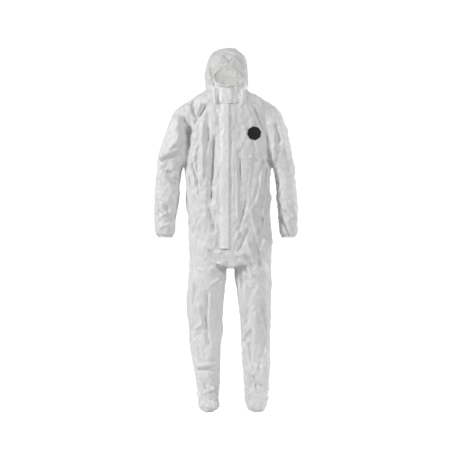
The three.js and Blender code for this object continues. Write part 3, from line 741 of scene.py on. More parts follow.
class Cloth:
    """The whole garment after draping, as arrays, with a panel name for each face."""

    def __init__(self, o):
        bm = bmesh.new()
        bm.from_mesh(o.data)
        cut_all(bm)
        snap_face_rim(bm)
        centres = np.array([f.calc_center_median() for f in bm.faces])
        name = regions(centres)
        self.names = sorted(set(name) - {""})
        for f, n in zip(list(bm.faces), name):
            f.material_index = self.names.index(n) + 1 if n else 0
        bm.to_mesh(o.data)
        bm.free()
        for _ in range(len(self.names) + 1):
            o.data.materials.append(None)
        applied(o, ("SUBSURF", {"levels": 1, "render_levels": 1}))
        me = o.data
        self.co, self.no, _ = mesh_arrays(me)
        index = np.empty(len(me.polygons), int)
        me.polygons.foreach_get("material_index", index)
        corners = np.empty(len(me.loops), int)
        me.loops.foreach_get("vertex_index", corners)
        self.faces, self.index = corners.reshape(-1, 4), index
        self.tree = BVHTree.FromPolygons(self.co.tolist(), self.faces[index > 0].tolist())
        self.find_edges()

    def panel(self, name, new):
        """One panel as an object, shaded with the whole garment's normals."""
        faces = self.faces[self.index == self.names.index(name) + 1]
        used, local = np.unique(faces, return_inverse=True)
        me = bpy.data.meshes.new(new)
        me.vertices.add(len(used))
        me.vertices.foreach_set("co", self.co[used].ravel())
        me.loops.add(faces.size)
        me.loops.foreach_set("vertex_index", local.ravel().astype(np.int32))
        me.polygons.add(len(faces))
        me.polygons.foreach_set("loop_start", np.arange(0, faces.size, 4, dtype=np.int32))
        me.polygons.foreach_set("use_smooth", np.ones(len(faces), bool))
        me.update(calc_edges=True)
        me.normals_split_custom_set_from_vertices(self.no[used].tolist())
        return linked(new, me)

    def front(self, x, z):
        """The cloth's front surface at one place in front view."""
        hit = self.tree.ray_cast(Vector((x, -1, z)), Vector((0, 1, 0)))
        return hit[0].y if hit[0] else None

    def seam(self, *pairs):
        """Chains of points along the edges between pairs of panels."""
        wanted = np.zeros(len(self.meet), bool)
        for a, b in pairs:
            if a in self.names and b in self.names:
                pair = sorted((self.names.index(a) + 1, self.names.index(b) + 1))
                wanted |= (self.meet == pair).all(1)
        return chains(self.meeting[wanted])

    def rim(self, keep):
        """Chains of points along the cloth's open edges."""
        ends = self.co[self.open_edges]
        return chains(self.open_edges[keep(ends[:, 0]) & keep(ends[:, 1])])

    def find_edges(self):
        faces, index = self.faces[self.index > 0], self.index[self.index > 0]
        edges = np.sort(np.stack([faces, np.roll(faces, -1, 1)], 2).reshape(-1, 2), 1)
        owner = np.repeat(index, 4)
        order = np.lexsort((edges[:, 1], edges[:, 0]))
        edges, owner = edges[order], owner[order]
        same = np.append((edges[1:] == edges[:-1]).all(1), False)
        single = ~same & ~np.roll(same, 1)
        self.open_edges = edges[single]
        first = np.nonzero(same)[0]
        apart = owner[first] != owner[first + 1]
        self.meeting = edges[first[apart]]
        self.meet = np.sort(np.stack([owner[first[apart]], owner[first[apart] + 1]], 1), 1)


def chains(edges):
    """Vertex chains through a list of edges, longest first."""
    links = {}
    for a, b in edges.tolist():
        links.setdefault(a, []).append(b)
        links.setdefault(b, []).append(a)
    out, seen = [], set()
    for start in sorted(links, key=lambda v: (len(links[v]) != 1, v)):
        if start in seen:
            continue
        chain = [start]
        seen.add(start)
        while True:
            following = [v for v in links[chain[-1]] if v not in seen]
            if not following:
                break
            chain.append(following[0])
            seen.add(following[0])
        if len(chain) > 2:
            if len(links[start]) == 2 and start in links[chain[-1]] and len(chain) > 8:
                chain.append(start)
            out.append(chain)
    return sorted(out, key=len, reverse=True)


# ---- Camera and light ------------------------------------------------------------------------
CAMERA_AWAY = 12.0      # metres from the suit
CAMERA_WIDE = 2.322     # metres across the picture, at the suit
SENSOR = 36             # millimetres
FLOOR_RADIUS = 1.8
LAMPS = (               # name, place, width and height, watts
    ("key_left", (-3.8, -2.1, 1.6), (0.8, 1.4), 214),
    ("front_right", (3.4, -2.9, 1.0), (1.2, 2.0), 102),
    ("rim_right", (3.3, 1.5, 0.6), (1.2, 2.6), 72),
    ("rim_left", (-3.2, 1.8, 0.5), (1.2, 2.6), 20),
    ("behind", (0.6, 4.2, 1.6), (2.4, 2.4), 32),
)


def lit(lamp, place, target):
    """A lamp at a place, turned to its target."""
    o = linked(lamp.name, lamp)
    o.location = place
    o.rotation_euler = (Vector(target) - Vector(place)).to_track_quat("-Z", "Y").to_euler()


def seen_by_camera(tree, shown, real, out):
    """The camera sees shown; every other ray sees real."""
    path = tree.nodes.new("ShaderNodeLightPath")
    mix = tree.nodes.new("ShaderNodeMixShader")
    tree.links.new(path.outputs["Is Camera Ray"], mix.inputs["Fac"])
    tree.links.new(real.outputs[0], mix.inputs[1])
    tree.links.new(shown.outputs[0], mix.inputs[2])
    tree.links.new(mix.outputs[0], tree.nodes[out].inputs["Surface"])


def studio():
    scene = bpy.context.scene
    world = bpy.data.worlds.new("studio")
    world.use_nodes = True
    nodes = world.node_tree.nodes
    back = nodes["Background"]
    back.inputs["Color"].default_value = (1, 1, 1, 1)
    back.inputs["Strength"].default_value = 1.15
    fill = nodes.new("ShaderNodeBackground")
    fill.inputs["Color"].default_value = (1, 1, 1, 1)
    fill.inputs["Strength"].default_value = 0.17
    seen_by_camera(world.node_tree, back, fill, "World Output")
    scene.world = world
    scene.view_settings.view_transform = "Standard"
    for name, place, size, power in LAMPS:
        lamp = bpy.data.lights.new(name, "AREA")
        lamp.shape, lamp.size, lamp.size_y, lamp.energy = "RECTANGLE", size[0], size[1], power
        lit(lamp, place, (0, 0, -0.7))
    lamp = bpy.data.lights.new("hood_glow", "SPOT")
    lamp.energy, lamp.spot_size, lamp.spot_blend, lamp.shadow_soft_size = 58, 0.26, 0.5, 0.12
    lit(lamp, (0.15, 1.7, 0.42), (0.009, 0.1, 0.085))
    camera = linked("camera", bpy.data.cameras.new("camera"))
    camera.data.sensor_width = SENSOR
    camera.data.lens = SENSOR * CAMERA_AWAY / CAMERA_WIDE
    camera.location = (0.0127, -CAMERA_AWAY, -0.6926)
    camera.rotation_euler = (math.pi / 2, 0, 0)
    camera.data.clip_end = 100
    scene.camera = camera
    floor = bpy.data.meshes.new("floor")
    z = CAD_LOW.z
    turn = np.linspace(0, 2 * math.pi, 96, endpoint=False)
    ring = [(FLOOR_RADIUS * math.cos(a), FLOOR_RADIUS * math.sin(a), z) for a in turn]
    floor.from_pydata(ring, [], [tuple(range(96))])
    look = bpy.data.materials.new("floor")
    look.use_nodes = True
    shader = look.node_tree.nodes["Principled BSDF"]
    shader.inputs["Base Color"].default_value = (0.93, 0.93, 0.93, 1)
    shader.inputs["Roughness"].default_value = 0.9
    glow = look.node_tree.nodes.new("ShaderNodeEmission")
    glow.inputs["Strength"].default_value = 1.02
    seen_by_camera(look.node_tree, glow, shader, "Material Output")
    floor.materials.append(look)
    linked("floor", floor)


# ---- Trims -----------------------------------------------------------------------------------
def new_object(name, verts, faces):
    me = bpy.data.meshes.new(name)
    me.from_pydata([tuple(v) for v in verts], [], faces)
    me.update()
    me.polygons.foreach_set("use_smooth", [True] * len(me.polygons))
    return linked(name, me)


def joined(name, parts):
    """One object from several (points, faces) parts."""
    faces, base = [], 0
    for v, f in parts:
        faces += [tuple(i + base for i in q) for q in f]
        base += len(v)
    return new_object(name, np.concatenate([v for v, _ in parts]), faces)


def unit(v):
    return v / np.maximum(np.linalg.norm(v, axis=-1), 1e-9)[..., None]


def resample(points, normals, step):
    """Evenly spaced points along a chain, with how far along it each is."""
    run = np.concatenate([[0], np.cumsum(np.linalg.norm(np.diff(points, axis=0), axis=1))])
    t = np.linspace(0, run[-1], max(4, int(run[-1] / step)))
    at = np.stack([np.interp(t, run, points[:, i]) for i in range(3)], 1)
    return at, unit(np.stack([np.interp(t, run, normals[:, i]) for i in range(3)], 1)), t


def strip_mesh(points, normals, width, height, pucker=0.0, pitch=0.009, closed=False, sides=8):
    """A flattened tube along a chain; pucker makes its height swell and sink every pitch metres."""
    if closed:
        tangent = np.roll(points, -1, 0) - np.roll(points, 1, 0)
    else:
        tangent = np.gradient(points, axis=0)
    across = unit(np.cross(unit(tangent), normals))
    run = np.concatenate([[0], np.cumsum(np.linalg.norm(np.diff(points, axis=0), axis=1))])
    swell = 1 + pucker * np.sin(run * 2 * math.pi / pitch + 1.3 * np.sin(run * 41))
    angle = np.arange(sides) * 2 * math.pi / sides
    sideways = across[:, None] * (np.cos(angle) * width / 2)[None, :, None]
    upwards = normals[:, None] * (np.sin(angle)[None, :] * (height * swell)[:, None])[..., None]
    verts = (points[:, None] + sideways + upwards).reshape(-1, 3)
    n = len(points)
    faces = []
    for r in range(n if closed else n - 1):
        r2 = (r + 1) % n
        for i in range(sides):
            j = (i + 1) % sides
            faces.append((r * sides + i, r * sides + j, r2 * sides + j, r2 * sides + i))
    if not closed:
        faces += [tuple(range(sides))[::-1], tuple((n - 1) * sides + i for i in range(sides))]
    return verts, faces


def panel_mesh(grid, thick, out=(0, -1, 0)):
    """A thin closed slab from a grid of points on its outer face."""
    rows, cols, _ = grid.shape
    du, dv = np.gradient(grid, axis=1), np.gradient(grid, axis=0)
    normal = unit(np.cross(du, dv))
    normal *= np.sign((normal @ np.array(out)))[..., None]
    verts = np.concatenate([grid.reshape(-1, 3), (grid - normal * thick).reshape(-1, 3)])
    base = rows * cols
    faces = []
    for r in range(rows - 1):
        for c in range(cols - 1):
            a, b = r * cols + c, r * cols + c + 1
            faces.append((a, b, b + cols, a + cols))
            faces.append((base + b, base + a, base + a + cols, base + b + cols))
    edge = list(range(cols)) + [r * cols + cols - 1 for r in range(1, rows)]
    edge += [(rows - 1) * cols + c for c in range(cols - 2, -1, -1)]
    edge += [r * cols for r in range(rows - 2, 0, -1)]
    for a, b in zip(edge, edge[1:] + edge[:1]):
        faces.append((b, a, base + a, base + b))
    return verts, faces


def forwards(points):
    """One forward-facing normal for each point."""
    return np.tile([0.0, -1.0, 0.0], (len(points), 1))


def stitches(points, normals, long=0.0032, gap=0.0016, width=0.0007):
    """A row of thread stitches along a chain: short rounded dashes that dip at both ends."""
    p, n, _ = resample(points, normals, (long + gap) / 4)
    parts = []
    for k in range(0, len(p) - 4, 4):
        arch = np.array([0.2, 1.0, 1.0, 0.2])[:, None] * width
        parts.append(strip_mesh(p[k:k + 4] + n[k:k + 4] * arch, n[k:k + 4], width, width * 0.5, sides=4))
    return parts


def facing_front(x, z):
    """The front of the cloth at each (x, z), with gaps filled in from the sides."""
    y = np.array([[cloth.front(a, b) or np.nan for a in x] for b in z])
    y[y > -0.05] = np.nan
    for row in y:
        bad = np.isnan(row)
        if bad.any() and not bad.all():
            row[bad] = np.interp(x[bad], x[~bad], row[~bad])
    good = ~np.isnan(y).any(1)
    for c in range(len(x)):
        y[~good, c] = np.interp(-z[~good], -z[good], y[good, c]) if good.any() else -0.1
    return y


# ---- Materials: white film laminate, cream elastic, woven tape, moulded plastic ----------------
class Look:
    """A material being put together, with short names for the nodes it is made of."""

    def __init__(self, name):
        self.material = bpy.data.materials.new(name)
        self.material.use_nodes = True
        self.tree = self.material.node_tree
        self.shader = self.tree.nodes["Principled BSDF"]

    def node(self, kind, **settings):
        made = self.tree.nodes.new(kind)
        for key, value in settings.items():
            setattr(made, key, value)
        return made

    def link(self, a, b):
        self.tree.links.new(a, b)

    def place(self, attribute="rest"):
        """The point's place at rest, so that a pattern moves with the cloth."""
        return self.node("ShaderNodeAttribute", attribute_name=attribute).outputs["Vector"]

    def stretched(self, place, scale):
        made = self.node("ShaderNodeMapping")
        made.inputs["Scale"].default_value = scale
        self.link(place, made.inputs["Vector"])
        return made.outputs["Vector"]

    def noise(self, place, scale, detail=3.0, distortion=0.0):
        made = self.node("ShaderNodeTexNoise")
        made.inputs["Scale"].default_value = scale
        made.inputs["Detail"].default_value = detail
        made.inputs["Distortion"].default_value = distortion
        self.link(place, made.inputs["Vector"])
        return made.outputs["Fac"]

    def cells(self, place, scale, feature="DISTANCE_TO_EDGE"):
        made = self.node("ShaderNodeTexVoronoi", feature=feature)
        made.inputs["Scale"].default_value = scale
        self.link(place, made.inputs["Vector"])
        return made.outputs["Distance"]

    def bands(self, place, scale, distortion, direction="Z"):
        made = self.node("ShaderNodeTexWave", bands_direction=direction)
        made.inputs["Scale"].default_value = scale
        made.inputs["Distortion"].default_value = distortion
        self.link(place, made.inputs["Vector"])
        return made.outputs["Fac"]

    def moved(self, place, scale, amount):
        """The place pushed about by noise, so that what reads it wanders."""
        noise = self.node("ShaderNodeTexNoise")
        noise.inputs["Scale"].default_value = scale
        self.link(place, noise.inputs["Vector"])
        push = self.node("ShaderNodeVectorMath", operation="SCALE")
        push.inputs["Scale"].default_value = amount
        self.link(noise.outputs["Color"], push.inputs[0])
        add = self.node("ShaderNodeVectorMath", operation="ADD")
        self.link(place, add.inputs[0])
        self.link(push.outputs["Vector"], add.inputs[1])
        return add.outputs["Vector"]

    def ramp(self, value, low, high, at=(0.3, 0.7)):
        made = self.node("ShaderNodeValToRGB")
        for stop, where, colour in zip(made.color_ramp.elements, at, (low, high)):
            stop.position = where
            stop.color = (*colour, 1)
        self.link(value, made.inputs["Fac"])
        return made.outputs["Color"]

    def between(self, value, low, high):
        made = self.node("ShaderNodeMapRange")
        made.inputs["To Min"].default_value = low
        made.inputs["To Max"].default_value = high
        self.link(value, made.inputs["Value"])
        return made.outputs["Result"]

    def tinted(self, a, b, blend, share):
        made = self.node("ShaderNodeMix", data_type="RGBA", blend_type=blend)
        made.inputs["Factor"].default_value = share
        self.link(a, made.inputs["A"])
        self.link(b, made.inputs["B"])
        return made.outputs["Result"]

    def bump(self, height, distance, strength, below=None):
        made = self.node("ShaderNodeBump")
        made.inputs["Distance"].default_value = distance
        made.inputs["Strength"].default_value = strength
        self.link(height, made.inputs["Height"])
        if below:
            self.link(below, made.inputs["Normal"])
        return made.outputs["Normal"]

    def set(self, **sockets):
        for key, value in sockets.items():
            socket = self.shader.inputs[key.replace("_", " ")]
            if isinstance(value, bpy.types.NodeSocket):
                self.link(value, socket)
            else:
                socket.default_value = value
        return self.material

    def let_through(self, share, colour, normal):
        """Mixes in light that comes through the thin film from behind."""
        through = self.node("ShaderNodeBsdfTranslucent")
        through.inputs["Color"].default_value = (*colour, 1)
        self.link(normal, through.inputs["Normal"])
        mix = self.node("ShaderNodeMixShader")
        mix.inputs["Fac"].default_value = share
        self.link(self.shader.outputs[0], mix.inputs[1])
        self.link(through.outputs[0], mix.inputs[2])
        self.link(mix.outputs[0], self.tree.nodes["Material Output"].inputs["Surface"])


def film_look(name, light, shade, through=0.2, crinkle=1.0, roughness=(0.32, 0.50)):
    """Flash-spun white film: crinkles of several sizes, a fine embossed dot and cloudy fibres."""
    k = Look(name)
    place = k.place()
    wandering = k.moved(place, 14.0, 0.03)
    clouds = k.ramp(k.noise(wandering, 7.0, 4.0), shade, light)
    fibres = k.noise(k.stretched(place, (1.0, 1.0, 0.35)), 340.0, 5.0)
    fibres = k.ramp(fibres, (0.93, 0.93, 0.93), (1.0, 1.0, 1.0))
    colour = k.tinted(clouds, fibres, "MULTIPLY", 0.8)
    normal = k.bump(k.cells(wandering, 22.0), 0.010, 0.40 * crinkle)
    folds = k.noise(k.stretched(wandering, (1.0, 1.0, 0.45)), 55.0, 4.0, 1.5)
    normal = k.bump(folds, 0.010, 0.75 * crinkle, normal)
    normal = k.bump(k.cells(wandering, 95.0), 0.0022, 0.40 * crinkle, normal)
    normal = k.bump(k.cells(place, 620.0, "F1"), 0.0004, 0.18, normal)
    k.set(Base_Color=colour, Roughness=k.between(k.noise(place, 46.0, 3.0), *roughness), Normal=normal)
    k.set(Sheen_Weight=0.08, Sheen_Roughness=0.4, Specular_IOR_Level=0.42)
    if through:
        k.let_through(through, light, normal)
    return k.material


def elastic_look(name):
    """Cream knitted elastic: ribs across its width, fuzzy and matt."""
    k = Look(name)
    place = k.place()
    ribs = k.bands(place, 260.0, 1.5, "DIAGONAL")
    cream = k.ramp(ribs, (0.62, 0.59, 0.52), (0.78, 0.76, 0.70))
    colour = k.tinted(cream, k.ramp(k.noise(place, 90.0), (0.9, 0.9, 0.9), (1, 1, 1)), "MULTIPLY", 0.7)
    normal = k.bump(k.noise(place, 900.0, 2.0), 0.0004, 0.3, k.bump(ribs, 0.0008, 0.5))
    rough = k.between(k.noise(place, 120.0), 0.7, 0.9)
    return k.set(Base_Color=colour, Roughness=rough, Normal=normal, Sheen_Weight=0.3)


def hem_look(name):
    """The face hem: the same film rolled round its elastic, a little creamier, and gathered tightly."""
    k = Look(name)
    place = k.place()
    pleats = k.noise(k.stretched(place, (1.0, 1.0, 0.4)), 190.0, 3.0, 1.5)
    colour = k.ramp(k.noise(place, 55.0), (0.82, 0.81, 0.785), (0.90, 0.895, 0.875))
    normal = k.bump(k.cells(place, 620.0, "F1"), 0.0004, 0.15, k.bump(pleats, 0.0022, 0.5))
    k.set(Base_Color=colour, Roughness=k.between(pleats, 0.42, 0.62), Normal=normal)
    k.let_through(0.30, (0.8, 0.79, 0.75), normal)
    return k.material


def tape_look(name, light=(0.80, 0.81, 0.82)):
    """Woven zip tape and adhesive liner: a close herringbone of fine threads."""
    k = Look(name)
    place = k.place()
    weave = k.bands(place, 420.0, 0.4, "DIAGONAL")
    threads = k.bands(place, 700.0, 0.3, "Z")
    shade = tuple(0.86 * c for c in light)
    clouds = k.ramp(k.noise(place, 60.0), (0.94, 0.94, 0.94), (1, 1, 1))
    colour = k.tinted(k.ramp(weave, shade, light), clouds, "MULTIPLY", 0.8)
    normal = k.bump(threads, 0.0003, 0.35, k.bump(weave, 0.0005, 0.4))
    return k.set(Base_Color=colour, Roughness=k.between(k.noise(place, 200.0), 0.5, 0.72), Normal=normal)


def plastic_look(name, attribute, light=(0.80, 0.80, 0.78)):
    """Moulded white plastic: a fine spark texture, a slight sheen and rubbed lighter patches."""
    k = Look(name)
    place = k.place(attribute) if attribute else k.node("ShaderNodeTexCoord").outputs["Object"]
    wear = k.noise(place, 140.0, 4.0)
    colour = k.ramp(wear, tuple(0.9 * c for c in light), light)
    dents = k.bump(k.noise(place, 160.0), 0.0005, 0.12)
    normal = k.bump(k.noise(place, 1500.0, 2.0), 0.0002, 0.25, dents)
    return k.set(Base_Color=colour, Roughness=k.between(wear, 0.26, 0.44), Normal=normal, Coat_Weight=0.08)


def badge_look(name):
    """Black printed film: a fine plain weave shows through the ink, with faint rubbed patches."""
    k = Look(name)
    place = k.place()
    weave = k.cells(place, 900.0, "F1")
    wear = k.noise(place, 75.0, 5.0)
    colour = k.ramp(wear, (0.004, 0.004, 0.0045), (0.010, 0.010, 0.011), (0.35, 0.8))
    normal = k.bump(weave, 0.0004, 0.3, k.bump(k.noise(place, 60.0), 0.0016, 0.25))
    rough = k.between(wear, 0.5, 0.68)
    return k.set(Base_Color=colour, Roughness=rough, Normal=normal, Specular_IOR_Level=0.25)


FILM = film_look("film_white", (0.83, 0.83, 0.83), (0.75, 0.75, 0.75))
FILM_HOOD = film_look("film_hood", (0.84, 0.84, 0.835), (0.77, 0.77, 0.765), through=0.42)
FILM_FLAP = film_look("film_flap", (0.82, 0.82, 0.82), (0.75, 0.75, 0.75), through=0.06, crinkle=0.8)
FILM_SEAM = film_look("film_seam", (0.86, 0.86, 0.86), (0.80, 0.80, 0.80), through=0.06, crinkle=0.5,
                      roughness=(0.34, 0.5))
# The soles: a darker copy of the film, which is painted shade for light falling from above; they are also
# rougher and more crinkled.
FILM_SOLE_SHADED = film_look("film_sole_shaded", (0.78, 0.78, 0.775), (0.66, 0.66, 0.655), through=0.08, crinkle=1.2,
                      roughness=(0.48, 0.7))
HEM = hem_look("face_hem_film")
ELASTIC = elastic_look("elastic_cream")
TAPE = tape_look("zip_tape_weave")
LINER = tape_look("adhesive_liner", (0.72, 0.77, 0.80))
LABEL = tape_look("label_satin", (0.84, 0.84, 0.82))
THREAD = tape_look("sewing_thread", (0.82, 0.82, 0.82))
COIL = plastic_look("coil_nylon", "rest")
MOULDED = plastic_look("moulded_white", "")
BADGE = badge_look("badge_black")


# ---- Placing pieces on the frame ---------------------------------------------------------------
def hip_zone(side):
    """Across the leg line, from the line itself to the start of the knee."""
    s = SIDES[side]
    across = Vector((s * math.sin(HIP_SLOPE), 0, -math.cos(HIP_SLOPE)))
    start = Vector((CROTCH_X, 0, CROTCH_Z))
    return ("trunk", f"{side}_upper_leg", start, start + 0.172 * across)


def knee_zone(side):
    top, foot = high(f"{side}_knee_section").z, low(f"{side}_knee_section").z
    start, end = Vector((0, 0, top - 0.006)), Vector((0, 0, foot + 0.006))
    return (f"{side}_upper_leg", f"{side}_lower_leg", start, end)


def shoulder_zone(side):
    """From the armpit outwards and down, so that the armhole itself stays with the trunk."""
    start = Vector((ARMHOLE[side], 0, ARMPIT_Z[side]))
    return ("trunk", f"{side}_upper_arm", start, start + Vector((SIDES[side], 0, -1)) * 0.036)


def elbow_zone(side):
    start, end = Vector((0, 0, ELBOW_CUT)), Vector((0, 0, ELBOW_CUT - 0.13))
    return (f"{side}_upper_arm", f"{side}_forearm", start, end)


HOOD_ZONE = ("trunk", "hood", Vector((0, 0, NECK_Z[0])), Vector((0, 0, 0.12)))


def finished(o, look, where, replaces=()):
    """Gives a piece its material, its rest places, its body (a zone only bakes it in place) and what it stands
    for.
    """
    o.data.materials.clear()
    o.data.materials.append(look)
    co = np.empty(len(o.data.vertices) * 3, np.float32)
    o.data.vertices.foreach_get("co", co)
    o.data.attributes.new("rest", "FLOAT_VECTOR", "POINT").data.foreach_set("vector", co)
    if isinstance(where, str):
        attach(o, where)
    else:
        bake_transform(o)
    if replaces:
        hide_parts(*replaces)
    return o


def trim(name, parts, look, where, replaces=()):
    """A finished piece made of several (points, faces) parts."""
    return finished(joined(name, parts), look, where, replaces)


def cloth_sheet(o):
    """Reads a panel's points and hands the panel back unchanged."""
    co = np.empty(len(o.data.vertices) * 3)
    o.data.vertices.foreach_get("co", co)
    return o


# ---- The cloth panels --------------------------------------------------------------------------
form = whole_form()
drape(form)
cloth = Cloth(form)
bpy.data.objects.remove(form)


def make_panels():
    made = {}

    def panel(name, new, where, look, *nodes):
        made[new] = finished(cloth.panel(name, new), look, where, nodes)

    for end in ("front", "back"):
        for side in SIDES:
            panel(f"{end}_{side}_panel", f"{end}_{side}_cloth", "trunk", FILM, f"{end}_{side}_panel")
    panel("crotch_gusset", "gusset_cloth", "trunk", FILM, "crotch_gusset")
    panel("neck", "collar_cloth", HOOD_ZONE, FILM, "neck_band")
    panel("hood_crown", "hood_crown_cloth", HOOD_ZONE, FILM_HOOD, "hood_crown_panel")
    for side in SIDES:
        panel(f"hood_{side}", f"hood_{side}_cloth", HOOD_ZONE, FILM_HOOD, f"hood_{side}_panel")
        panel(f"{side}_shoulder_panel", f"{side}_shoulder_cloth", "trunk", FILM, f"{side}_shoulder_panel")
        panel(f"{side}_sleeve", f"{side}_sleeve_cloth", shoulder_zone(side), FILM,
              f"{side}_shoulder_section", f"{side}_upper_sleeve")
        panel(f"{side}_forearm_panel", f"{side}_forearm_cloth", elbow_zone(side), FILM,
              f"{side}_elbow_section", f"{side}_lower_sleeve")
        panel(f"{side}_cuff_band", f"{side}_cuff_cloth", f"{side}_forearm", FILM, f"{side}_cuff")
        panel(f"{side}_thigh_panel", f"{side}_thigh_cloth", hip_zone(side), FILM,
              f"{side}_hip_section", f"{side}_thigh")
        panel(f"{side}_shin_panel", f"{side}_shin_cloth", knee_zone(side), FILM,
              f"{side}_knee_section", f"{side}_shin")
        panel(f"{side}_sock_upper", f"{side}_sock_cloth", f"{side}_lower_leg", FILM, f"{side}_sock")
        panel(f"{side}_sole", f"{side}_sole_cloth", f"{side}_lower_leg", FILM_SOLE_SHADED, f"{side}_sock_sole")
    return made


PANELS = make_panels()


# ---- Seams and stitching -----------------------------------------------------------------------
def seam_piece(name, where, pairs, width=0.005, height=0.0012, shortest=0.04):
    """The sewn seam between panels: a narrow raised line, slightly puckered by its thread."""
    parts, thread = [], []
    for chain in cloth.seam(*pairs):
        p, n, run = resample(smooth_chain(cloth.co[chain], 2), cloth.no[chain], 0.0032)
        if run[-1] > shortest:
            parts.append(strip_mesh(p, n, width, height, 0.3, 0.010))
            side = unit(np.cross(unit(np.gradient(p, axis=0)), n)) * (width / 2 + 0.0016)
            thread += stitches(p + side + n * 0.0003, n)
    if parts:
        trim(name, parts, FILM_SEAM, where)
        trim(f"{name}_stitching", thread, THREAD, where)


def longest_run(hits, jump=0.022):
    """The longest stretch of hits with no jump between neighbours."""
    runs = [[]]
    for hit in hits:
        if runs[-1] and (hit[0] - runs[-1][-1][0]).length > jump:
            runs.append([])
        runs[-1].append(hit)
    return max(runs, key=len)


def traced(name, where, rays, width=0.004, height=0.0011, within=False):
    """A seam drawn on the cloth where rays meet it, from outside or, if within, from inside a tube."""
    hits = [cloth.tree.ray_cast(Vector(o), Vector(d)) for o, d in rays]
    hits = longest_run([h for h in hits if h[0]])
    if len(hits) < 4:
        return
    points = np.array([h[0][:] for h in hits])
    normals = np.array([h[1][:] for h in hits])
    facing = np.array([rays[0][1]])
    away = ((normals * facing).sum(1) > 0) != within
    normals = unit(np.where(away[:, None], -normals, normals))
    p, n, _ = resample(smooth_chain(points, 6), smooth_chain(normals, 10), 0.0034)
    trim(name, [strip_mesh(p, n, width, height, 0.35, 0.011)], FILM_SEAM, where)


def make_seams():
    for side in SIDES:
        sh = f"{side}_shoulder_panel"
        seam_piece(f"raglan_seam_{side}_front", "trunk",
                   [(f"front_{side}_panel", sh), (f"front_{side}_panel", f"{side}_sleeve")])
        seam_piece(f"raglan_seam_{side}_back", "trunk",
                   [(f"back_{side}_panel", sh), (f"back_{side}_panel", f"{side}_sleeve")])
        both = [(f"front_{side}_panel", f"back_{side}_panel")]
        seam_piece(f"side_seam_{side}", "trunk", both, shortest=0.1)
        seam_piece(f"hood_seam_{side}", HOOD_ZONE, [("hood_crown", f"hood_{side}")])
        shin, sock, sole = f"{side}_shin_panel", f"{side}_sock_upper", f"{side}_sole"
        seam_piece(f"ankle_seam_{side}", f"{side}_lower_leg", [(shin, sock)])
        seam_piece(f"sole_seam_{side}", f"{side}_lower_leg", [(sock, sole)])
        cuff = [(f"{side}_forearm_panel", f"{side}_cuff_band")]
        seam_piece(f"cuff_seam_{side}", f"{side}_forearm", cuff, width=0.003)
        leg_lines(side)
        sleeve_lines(side)
    panels = [p for p in cloth.names if p.endswith("panel")]
    seam_piece("collar_seam", "trunk", [("neck", p) for p in panels])
    seam_piece("back_seam", "trunk", [("back_left_panel", "back_right_panel")], shortest=0.1)
    seam_piece("front_seam", "trunk", [("front_left_panel", "front_right_panel")], width=0.004, shortest=0.02)
    seam_piece("gusset_seam", "trunk", [("crotch_gusset", p) for p in panels], shortest=0.02)


def leg_lines(side):
    """The inner and outer leg seams, in a stretch from hip to knee and one from knee to sock."""
    s = SIDES[side]
    knee, sock = high(f"{side}_knee_section").z, high(f"{side}_sock").z
    thigh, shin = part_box(f"{side}_thigh"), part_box(f"{side}_shin")
    for name, top, foot, zone, box in (
        ("thigh", CROTCH_Z - 0.012, knee + 0.002, hip_zone(side), thigh),
        ("shin", knee - 0.002, sock + 0.003, knee_zone(side), shin),
    ):
        middle = (box[0].x + box[1].x) / 2
        for edge, way in (("inner", -s), ("outer", s)):
            start = top if edge == "inner" or name == "shin" else CROTCH_Z + 0.115
            reach = abs(middle - CROTCH_X) - 0.001 if edge == "inner" else 0.4
            levels = np.arange(start, foot, -0.009)
            rays = [((middle + way * reach, SIDE_SEAM_Y, z), (-way, 0, 0)) for z in levels]
            traced(f"{edge}_leg_seam_{side}_{name}", zone, rays)


def sleeve_lines(side):
    """The underarm seam, in the stretch above the elbow bend and the one below it."""
    s = SIDES[side]
    cuff = high(f"{side}_cuff").z
    for name, top, foot, zone in (
        ("upper", ARMPIT_Z[side] - 0.012, ELBOW_CUT + 0.002, shoulder_zone(side)),
        ("lower", ELBOW_CUT - 0.002, cuff + 0.003, elbow_zone(side)),
    ):
        levels = np.arange(top, foot, -0.008)
        rays = [((s * np.interp(-z, [0.34, 0.75], [0.292, 0.312]), 0.0, z), (-s, 0, 0)) for z in levels]
        traced(f"underarm_seam_{side}_{name}", zone, rays, within=True)


make_seams()


# ---- Hood opening, cuffs, waist and label -------------------------------------------------------
def ring_points(chain):
    """A closed chain's points without the repeated last one."""
    points = cloth.co[chain]
    return points[:-1] if np.linalg.norm(points[0] - points[-1]) < 1e-6 else points


